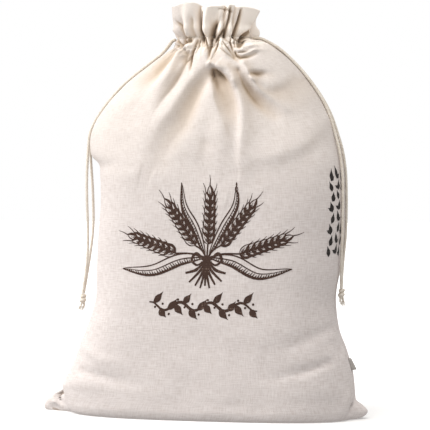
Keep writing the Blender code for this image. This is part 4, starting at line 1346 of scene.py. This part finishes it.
def map_side_edges(panel, edges, bake):
    """Places on the bake map for the narrow faces that close a sheet at its sides and bottom."""
    layer = panel.data.uv_layers["OFBake"].data
    corners = np.zeros(len(layer) * 2)
    layer.foreach_get("uv", corners)
    corners = corners.reshape(-1, 2)
    row_total, outer_total = len(bake), (len(bake) - len(RIM_TRAVEL)) // 2
    first = len(panel.data.polygons) - len(edges)
    for number, face in enumerate(edges):
        loop = panel.data.polygons[first + number].loop_start
        on_side = number < 2 * (outer_total - 1)
        for step, corner in enumerate(face):
            row, column = divmod(corner, COLUMN_COUNT)
            inner = MAP_EDGE_WIDE * (row >= outer_total)
            up = bake[min(row, row_total - 1 - row)]
            corners[loop + step] = (
                (MAP_SIDE_EDGES[0 if column == 0 else 1] + inner, up) if on_side
                else (column / COLUMN_COUNT * MAP_WIDE, MAP_BOTTOM_EDGE + inner))
    layer.foreach_set("uv", corners.ravel())


print("places up the cloth:", len(sheet_maps()[0]))

# %% The two panels
SIDE_SIGN = {"front": -1.0, "back": 1.0}


def edge_faces(row_total, outer_total):
    """The faces that close a sheet at its two sides and along the bottom seam."""
    edges = []
    for row in range(outer_total - 1):
        for column, order in ((0, 1), (COLUMN_COUNT - 1, -1)):
            here = row * COLUMN_COUNT + column
            there = (row_total - 1 - row) * COLUMN_COUNT + column
            edges.append((here, here + COLUMN_COUNT, there - COLUMN_COUNT, there)[::order])
    last = (row_total - 1) * COLUMN_COUNT
    return edges + [(column + 1, column, last + column, last + column + 1)
                    for column in range(COLUMN_COUNT - 1)]


def make_panel(side):
    """One panel of the bag as a closed sheet with its maps."""
    grid = sheets[side].copy()
    grid[:, :, 1] *= SIDE_SIGN[side]
    edges = edge_faces(len(grid), len(faces_of_cloth[side][0]))
    faces = grid_faces(len(grid), COLUMN_COUNT) + edges
    if side == "back":
        faces, edges = ([face[::-1] for face in group] for group in (faces, edges))
    panel = new_piece(side + "_linen", grid.reshape(-1, 3) * MM, faces, linen)
    travel, bake = sheet_maps()
    for name, wide, up in (("threads", FLAT_WIDE * MM, travel), ("OFBake", MAP_WIDE, bake)):
        place = np.stack(np.broadcast_arrays(across[None, :] * wide, up[:, None]), axis=2)
        give_uv(panel, place.reshape(-1, 2), name)
    map_side_edges(panel, edges, bake)
    # the share of painted shade of each point, stored for the linen's colour
    shade = faces_of_cloth[side][1]
    all_shade = np.concatenate((shade, np.repeat(shade[-1:], len(RIM_TRAVEL), axis=0), shade[::-1]))
    stored = panel.data.attributes.new("painted_shade_share", "FLOAT", "POINT")
    stored.data.foreach_set("value", all_shade.ravel())
    return panel


panels = {}
for side in ("front", "back"):
    panels[side] = make_panel(side)
    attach(panels[side], "root")
    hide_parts(side + "_panel")
    print(side, "panel triangles:", 2 * len(panels[side].data.polygons))

# %% [markdown]
# ## Places on the cloth
# Stitches and ink must lie exactly on the cloth, whatever folds it has. A place on the flat
# panel, given as a distance across and a distance up, is looked up between the four nearest
# points of the finished face, and lifted a hair above it.

# %% Looking up places on the finished cloth
cloth_normals = {side: outward(face) for side, (face, _) in faces_of_cloth.items()}
row_height = (row_form["z_left"] + row_form["z_right"]) / 2.0


def on_cloth(side, flat_x, travel, above):
    """Points in millimetres at places of a flat panel, lifted above the cloth."""
    face, normal = faces_of_cloth[side][0], cloth_normals[side]
    column = np.clip(np.asarray(flat_x) / FLAT_WIDE, 0.0, 1.0) * (COLUMN_COUNT - 1)
    row = BASE_ROWS + np.interp(travel, row_travel, np.arange(len(row_travel)))
    left = np.minimum(column.astype(int), COLUMN_COUNT - 2)
    low = np.minimum(row.astype(int), len(face) - 2)
    part_x, part_z = (column - left)[:, None], (row - low)[:, None]
    lifted = face + normal * above
    lower, upper = (lifted[up, left] * (1 - part_x) + lifted[up, left + 1] * part_x
                    for up in (low, low + 1))
    points = lower * (1 - part_z) + upper * part_z
    points[:, 1] *= SIDE_SIGN[side]
    return points


def travel_at(height):
    """How far up the cloth a height above the floor lies."""
    return np.interp(height, row_height, row_travel)


print("halfway up the front:", on_cloth("front", [150.0], [travel_at(180.0)], 0.0).round(1).tolist())

# %% [markdown]
# ## Stitches
# Two lines of lockstitch hold the casing: one under the frill and one above the shoulders.
# Each stitch is a short thread that dips into the cloth at both ends. A bumpy texture could
# fake them, but they follow the gathers here, so real threads are simpler.

# %% Casing stitches
STITCH_LONG = 2.6
STITCH_APART = 3.5
STITCH_PLACES = np.array((0.0, 0.2, 0.5, 0.8, 1.0))
STITCH_RISES = np.array((0.0, 0.8, 1.0, 0.8, 0.0))
STITCH_SUNK, STITCH_RAISED = -0.25, 0.18     # below and above the cloth
THREAD_THICK = 0.26


def stitch_line(side, height):
    """A row of stitches across a panel at a height."""
    parts = []
    count = int(FLAT_WIDE / STITCH_APART)
    for number in range(count):
        start = (number + 0.5) * FLAT_WIDE / count - STITCH_LONG / 2.0
        flat_x = start + STITCH_LONG * STITCH_PLACES
        travel = np.full(len(flat_x), travel_at(height)) + 0.25 * math.sin(number * 1.7)
        sunk = on_cloth(side, flat_x, travel, STITCH_SUNK)
        raised = on_cloth(side, flat_x, travel, STITCH_RAISED)
        line = sunk + (raised - sunk) * STITCH_RISES[:, None]
        parts.append(thin_tube(line * MM, THREAD_THICK * MM, tip=1.0, sides=6, map_turn=6.3))
    return parts


THREAD_TONES = ((0.3, (0.59, 0.54, 0.46)), (0.7, (0.75, 0.70, 0.64)))
thread_white = spun_finish("sewing thread", roughness=0.7, slant=120.0, stops=THREAD_TONES,
                           strength=0.3, distance=0.0001)

for side in ("front", "back"):
    parts = stitch_line(side, CASING[0]) + stitch_line(side, CASING[1])
    points, faces, uv = join_parts(parts)
    stitches = new_piece(side + "_casing_stitches", points, faces, thread_white)
    give_uv(stitches, uv)
    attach(stitches, "root")
    print(side, "stitches:", len(parts))

# %% [markdown]
# ## The seam tab
# A blank loop of narrow tape is caught in the right side seam, near the floor. It is folded
# once, so its outer edge is round and its cut ends are hidden in the seam; its lower edge
# stands out further than the upper one. It leans back, away from the face of the bag.

# %% Outline of the seam tab
TAB_COLUMNS = ("z", "seam_x", "stands_out", "thick")
TAB_EDGES = (
    (42.6, 133.9, 6.0, 0.9), (43.0, 133.8, 6.5, 1.5), (45.4, 133.2, 5.9, 1.6),
    (47.8, 132.5, 5.1, 1.6), (50.2, 131.8, 4.3, 1.6), (52.6, 131.1, 3.6, 1.5),
    (53.0, 131.0, 3.2, 0.9),
)
TAB_LEANS = math.radians(58.0)
TAB_IN_SEAM = -0.6       # its cut ends lie this far inside the seam
TAB_PRESSED = 0.80       # share of its thickness left where the seam holds it


def tab_outline(edge):
    """The outline of the folded tape at one height, from the seam round the fold and back."""
    turn = np.linspace(-math.pi / 2.0, math.pi / 2.0, 9)
    half = edge["thick"] / 2.0
    fold = edge["stands_out"] - half
    flat = np.linspace(TAB_IN_SEAM, fold, 5)[:-1]
    pinch = half * (TAB_PRESSED + (1.0 - TAB_PRESSED) * (flat - flat[0]) / (flat[-1] - flat[0]))
    out = np.concatenate((flat, fold + half * np.cos(turn), flat[::-1]))
    over = np.concatenate((-pinch, half * np.sin(turn), pinch[::-1]))
    x = edge["seam_x"] + out * math.cos(TAB_LEANS) - over * math.sin(TAB_LEANS)
    y = out * math.sin(TAB_LEANS) + over * math.cos(TAB_LEANS)
    return np.stack((x, y, np.full(len(x), edge["z"])), axis=1)


outlines = [tab_outline(edge) for edge in named(TAB_COLUMNS, TAB_EDGES)]
print("tab outlines:", len(outlines))

# %% Tape finish and seam tab
def woven_finish(name, threads, slubs, stops, strength, distance):
    """A matt finish of woven threads, in a few close tones."""
    finish, tree, shader = blank_finish(name, roughness=0.85)
    weave = woven(tree, threads, slubs)
    tree.links.new(colour_ramp(tree, weave.outputs["Tone"], stops), shader.inputs["Base Color"])
    bumped(tree, shader, weave.outputs["Height"], strength, distance)
    return finish


# tape tones made dark as painted shade, for the tab that leans back into shade
TAPE_TONES_WITH_PAINTED_SHADE = ((0.25, (0.31, 0.28, 0.265)), (0.75, (0.46, 0.43, 0.40)))
tape = woven_finish("blank cotton tape", threads=2600.0, slubs=0.25, stops=TAPE_TONES_WITH_PAINTED_SHADE,
                    strength=0.4, distance=0.0002)
tab_size = len(outlines), len(outlines[0])
points = np.concatenate(outlines) * MM
faces = grid_faces(*tab_size, closed=True) + end_caps(*tab_size)
tab = new_piece("seam_tab_folded", points, faces, tape)
give_uv(tab, points[:, (1, 2)])
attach(tab, "root")
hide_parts("seam_tab")
print("tab faces:", len(faces))

# %% [markdown]
# ## Ink: brush lines on the flat cloth
# The bag is printed by screen with dark brown ink. A real screen is drawn flat, so the design
# is drawn flat too: every mark is a brush line, a chain of places with a width at each, in
# millimetres from the middle of the design. The line is then laid on the finished cloth, a hair
# above it, so it follows each fold. A texture could carry the same drawing, but lines stay
# sharp at any size. All motifs here are plain wheat and leaves.

# %% Brush lines
BRUSH_STEP = 1.1
BRUSH_WOBBLE = 0.20


def flat_route(points, step):
    """A smooth flat line, with its direction and the way to its left at each point."""
    line = smooth_route([(u, v, 0.0) for u, v in points], step)[:, :2]
    ahead = np.gradient(line, axis=0)
    ahead /= np.linalg.norm(ahead, axis=1)[:, None]
    return line, ahead, np.stack((-ahead[:, 1], ahead[:, 0]), axis=1)


def brush(points, widths, wobble=BRUSH_WOBBLE):
    """The two edges of a brush line on the flat cloth: one pair of places for each step."""
    line, _, left = flat_route(points, BRUSH_STEP)
    share = np.linspace(0.0, 1.0, len(line))
    half = np.interp(share, np.linspace(0.0, 1.0, len(widths)), widths) / 2.0
    edges = []
    for way, layer in ((1.0, 2.0), (-1.0, 6.0)):
        rough = [1.0 + wobble * noise.noise(Vector((u * 0.9, v * 0.9, layer))) for u, v in line]
        edges.append(line + way * left * (np.array(rough) * half)[:, None])
    return np.stack(edges, axis=1)


def turned(points, degrees, move):
    """Places turned clockwise about (0, 0), then moved."""
    turn = math.radians(degrees)
    return [(u * math.cos(turn) + v * math.sin(turn) + move[0],
             v * math.cos(turn) - u * math.sin(turn) + move[1]) for u, v in points]


def leaf(length, wide, degrees, move):
    """A filled leaf that starts at a place and points in a direction."""
    spine = [(0, 0), (0.10 * wide, 0.35 * length), (0.05 * wide, 0.7 * length), (0, length)]
    widths = (0.5, 0.75 * wide, wide, 0.72 * wide, 0.25 * wide, 0.2)
    return brush(turned(spine, degrees, move), widths, BRUSH_WOBBLE / 2.0)


print("a brush line 10 mm long has", len(brush([(0, 0), (0, 10)], (1.0, 1.0))), "steps")

# %% Laying ink on the cloth
PRINT_ABOVE = 0.16


def print_piece(name, lines, middle, ink):
    """Brush lines laid on the front panel, round a middle given as flat place and height."""
    flat = np.concatenate([line.reshape(-1, 2) for line in lines])
    faces, start = [], 0
    for line in lines:
        for pair in range(start, start + 2 * (len(line) - 1), 2):
            faces.append((pair, pair + 1, pair + 3, pair + 2))
        start += 2 * len(line)
    across_flat, travel = middle[0] + flat[:, 0], travel_at(middle[1]) + flat[:, 1]
    points = on_cloth("front", across_flat, travel, PRINT_ABOVE)
    piece = new_piece(name, points * MM, faces, ink)
    give_uv(piece, np.stack((across_flat, travel + BASE_DEEP), axis=1) * MM)
    low = flat.min(axis=0)
    give_uv(piece, (flat - low) / (flat - low).max() * 0.98 + 0.01, "OFBake")
    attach(piece, "root")
    print(name, "lines:", len(lines), "size in mm:", (flat.max(axis=0) - low).round(1).tolist())


def ink_finish(name, dark, worn):
    """Matt ink that sits on the thread tops and leaves some of the linen showing."""
    stops = ((0.20, dark), (0.70, dark), (0.95, worn))
    return woven_finish(name, LINEN_THREADS, slubs=0.9, stops=stops, strength=0.3, distance=0.0004)


brown_ink = ink_finish("brown ink", (0.048, 0.025, 0.018), (0.20, 0.14, 0.11))
black_ink = ink_finish("black ink", (0.016, 0.013, 0.012), (0.12, 0.10, 0.09))
print("inks:", brown_ink.name, "and", black_ink.name)

# %% [markdown]
# ## The sheaf of wheat
# The large design is a sheaf in the manner of a woodcut: five ears in a fan, blades of leaf
# between them, a ribbon, and the cut stalks below. An ear is two rows of grains with a beard;
# each grain has a thin edge on the lit side, a thick one on the other and a few short hatches.

# %% One ear of wheat
GRAIN_ROWS = 7
GRAIN_APART = 5.6
GRAIN_LONG = 12.0
GRAIN_LEANS = 27.0
GRAIN_COLUMNS = ("route", "widths")
GRAIN_LINES = (          # places as millimetres across and shares of the length
    (((0, 0), (-2.1, 0.30), (-1.9, 0.68), (0, 1)), (0.5, 1.0, 1.0, 0.5)),
    (((0, 0), (2.1, 0.30), (1.9, 0.68), (0, 1)), (0.8, 2.3, 2.5, 1.0)),
    (((-0.3, 0.22), (-0.4, 0.62)), (0.8, 0.4)),
    (((0.6, 0.12), (0.5, 0.45)), (1.1, 0.5)),
)


def grain(degrees, move, beard):
    """One grain: a thin left edge, a thick right edge, two hatches and its beard."""
    lines = []
    for mark in named(GRAIN_COLUMNS, GRAIN_LINES):
        route = [(u, v * GRAIN_LONG) for u, v in mark["route"]]
        lines.append(brush(turned(route, degrees, move), mark["widths"]))
    tip = [(0, GRAIN_LONG), (0.5, GRAIN_LONG + 0.5 * beard), (0.2, GRAIN_LONG + beard)]
    return lines + [brush(turned(tip, degrees, move), (1.0, 0.7, 0.35))]


def wheat_ear(degrees, foot, long_beard):
    """An ear that starts at its foot and points in a direction."""
    lines = []
    for row in range(GRAIN_ROWS):
        at = turned([(0.0, row * GRAIN_APART)], degrees, foot)[0]
        for way in (-1.0, 1.0):
            lines += grain(degrees + way * GRAIN_LEANS * (1.0 - 0.05 * row), at,
                           long_beard * (0.45 + 0.55 * row / GRAIN_ROWS))
    crown = turned([(0.0, GRAIN_ROWS * GRAIN_APART)], degrees, foot)[0]
    return lines + grain(degrees, crown, long_beard)


print("lines in an ear:", len(wheat_ear(0.0, (0, 0), 10.0)))

# %% The whole sheaf
TIE = (0.0, -24.0)
WHEAT_COLUMNS = ("leans", "foot", "beard")
EARS_OF_WHEAT = ((0.0, (0, -11), 9.0), (-38.0, (-12, -12), 9.0), (38.0, (12, -12), 9.0),
                 (-72.0, (-30, -19), 10.0), (72.0, (30, -19), 10.0))
STALK_COLUMNS = ("bend", "end")
STALKS = (((-2.5, -34), (-9, -47)), ((-1.2, -36), (-4, -49)), ((0, -36), (0.5, -47)),
          ((1.2, -36), (5, -49)), ((2.5, -34), (10, -46)), ((-4, -32), (-15, -44)),
          ((4, -32), (16, -43)))
BLADE_COLUMNS = ("route", "wide")
BLADES = (
    (((-3, -22), (-24, -24), (-52, -34), (-82, -33)), 10.0),
    (((3, -22), (24, -25), (50, -36), (80, -32)), 10.0),
    (((-2, -20), (-13, 4), (-24, 22), (-27, 42)), 6.5),
    (((2, -20), (14, 5), (24, 24), (25, 43)), 6.5),
)
HATCH_STEP = 2.3
RIBBON_HEIGHTS = (-22.0, -24.4, -26.8)


def blade(route, wide):
    """A leaf blade: two edges, and hatching that fills its shaded half."""
    spine, ahead, over = flat_route(route, HATCH_STEP)
    over = over * np.where(over[:, 1:] < 0.0, -1.0, 1.0)
    half = wide / 2.0 * np.sin(math.pi * np.linspace(0.0, 1.0, len(spine)) ** 0.8) ** 0.8
    lines = [brush(spine + over * half[:, None], (0.7, 1.3, 1.1, 0.5)),
             brush(spine - over * half[:, None], (0.9, 2.6, 2.2, 0.8)),
             brush(spine, (1.2, 1.0, 0.5))]
    for index in range(2, len(spine) - 2):
        from_spine = over[index] * half[index]
        inner = spine[index] - from_spine * (0.15 + 0.25 * (index % 3 == 0))
        outer = spine[index] - from_spine * 0.95 - ahead[index] * 1.4
        lines.append(brush([tuple(outer), tuple(inner)], (1.5, 0.5)))
    return lines


sheaf = []
for ear in named(WHEAT_COLUMNS, EARS_OF_WHEAT):
    foot_u, foot_v = ear["foot"]
    bend = (0.45 * foot_u, 0.5 * (TIE[1] + foot_v) + 2.0)
    sheaf.append(brush([TIE, bend, ear["foot"]], (1.8, 1.6, 1.4)))
    sheaf += wheat_ear(ear["leans"], ear["foot"], ear["beard"])
for stalk in named(STALK_COLUMNS, STALKS):
    sheaf.append(brush([TIE, stalk["bend"], stalk["end"]], (2.2, 2.4, 1.6)))
for facts in named(BLADE_COLUMNS, BLADES):
    sheaf += blade(**facts)
for height in RIBBON_HEIGHTS:
    turns = [(-5.2, height + 0.6), (0, height - 0.6), (5.2, height + 0.6)]
    sheaf.append(brush(turns, (1.4, 1.9, 1.4)))
for way in (-1.0, 1.0):
    bow = [(2 * way, -25), (11 * way, -19), (14 * way, -25), (9 * way, -29), (2 * way, -25)]
    sheaf.append(brush(bow, (1.2, 2.4, 2.6, 1.8, 1.2)))
    sheaf.append(brush([(2 * way, -26), (9 * way, -33), (19 * way, -36)], (1.4, 2.8, 1.8)))
print_piece("print_sheaf", sheaf, (150.0, 166.0), brown_ink)

# %% [markdown]
# ## The vine and the side print
# Below the sheaf runs a short vine of bold leaves, about as tall as a line of large print. The
# right side of the bag carries small leaves in near black, in columns; the cords hang in front
# of them.

# %% Vine and side leaves
VINE_LONG, VINE_WAVE, VINE_SWING = 104.0, 29.0, 3.6
VINE_LEAVES, VINE_LEAVES_FROM, VINE_LEAVES_APART = 14, 4.0, 7.2
SIDE_COLUMNS_U = (-15.0, -5.0, 5.0, 14.0)
SIDE_LEAVES, SIDE_FROM, SIDE_APART = 8, -38.0, 9.6


def vine_height(u):
    """How high the vine's stem runs at a place."""
    return VINE_SWING * math.sin(2.0 * math.pi * u / VINE_WAVE)


stem = np.arange(-VINE_LONG / 2.0, VINE_LONG / 2.0 + 0.1, 4.0)
vine = [brush([(u, vine_height(u)) for u in stem], (1.2, 2.8, 2.4, 2.8, 1.2))]
for number in range(VINE_LEAVES):
    u = -VINE_LONG / 2.0 + VINE_LEAVES_FROM + number * VINE_LEAVES_APART
    v = vine_height(u)
    up = 1.0 if number % 2 == 0 else -1.0
    vine.append(leaf(13.0 - 2.0 * (number % 3 == 1), 6.6, 42.0 if up > 0.0 else 138.0, (u, v)))
    vine.append(brush([(u + 1.5, v - 3.2 * up), (u + 2.9, v - 4.6 * up)], (1.2, 2.4, 1.4)))
print_piece("print_vine", vine, (150.0, 101.0), brown_ink)

side_leaves = []
for number, u in enumerate(SIDE_COLUMNS_U):
    for step in range(SIDE_LEAVES):
        v = SIDE_FROM + step * SIDE_APART + 2.0 * (number % 2)
        side_leaves.append(leaf(9.6, 5.4, 14.0 if (step + number) % 2 else -14.0, (u, v)))
        if (step + number) % 3:
            side_leaves.append(leaf(6.0, 3.4, 62.0 if step % 2 else -62.0, (u, v + 1.0)))
print_piece("print_side", side_leaves, (281.0, 182.0), black_ink)
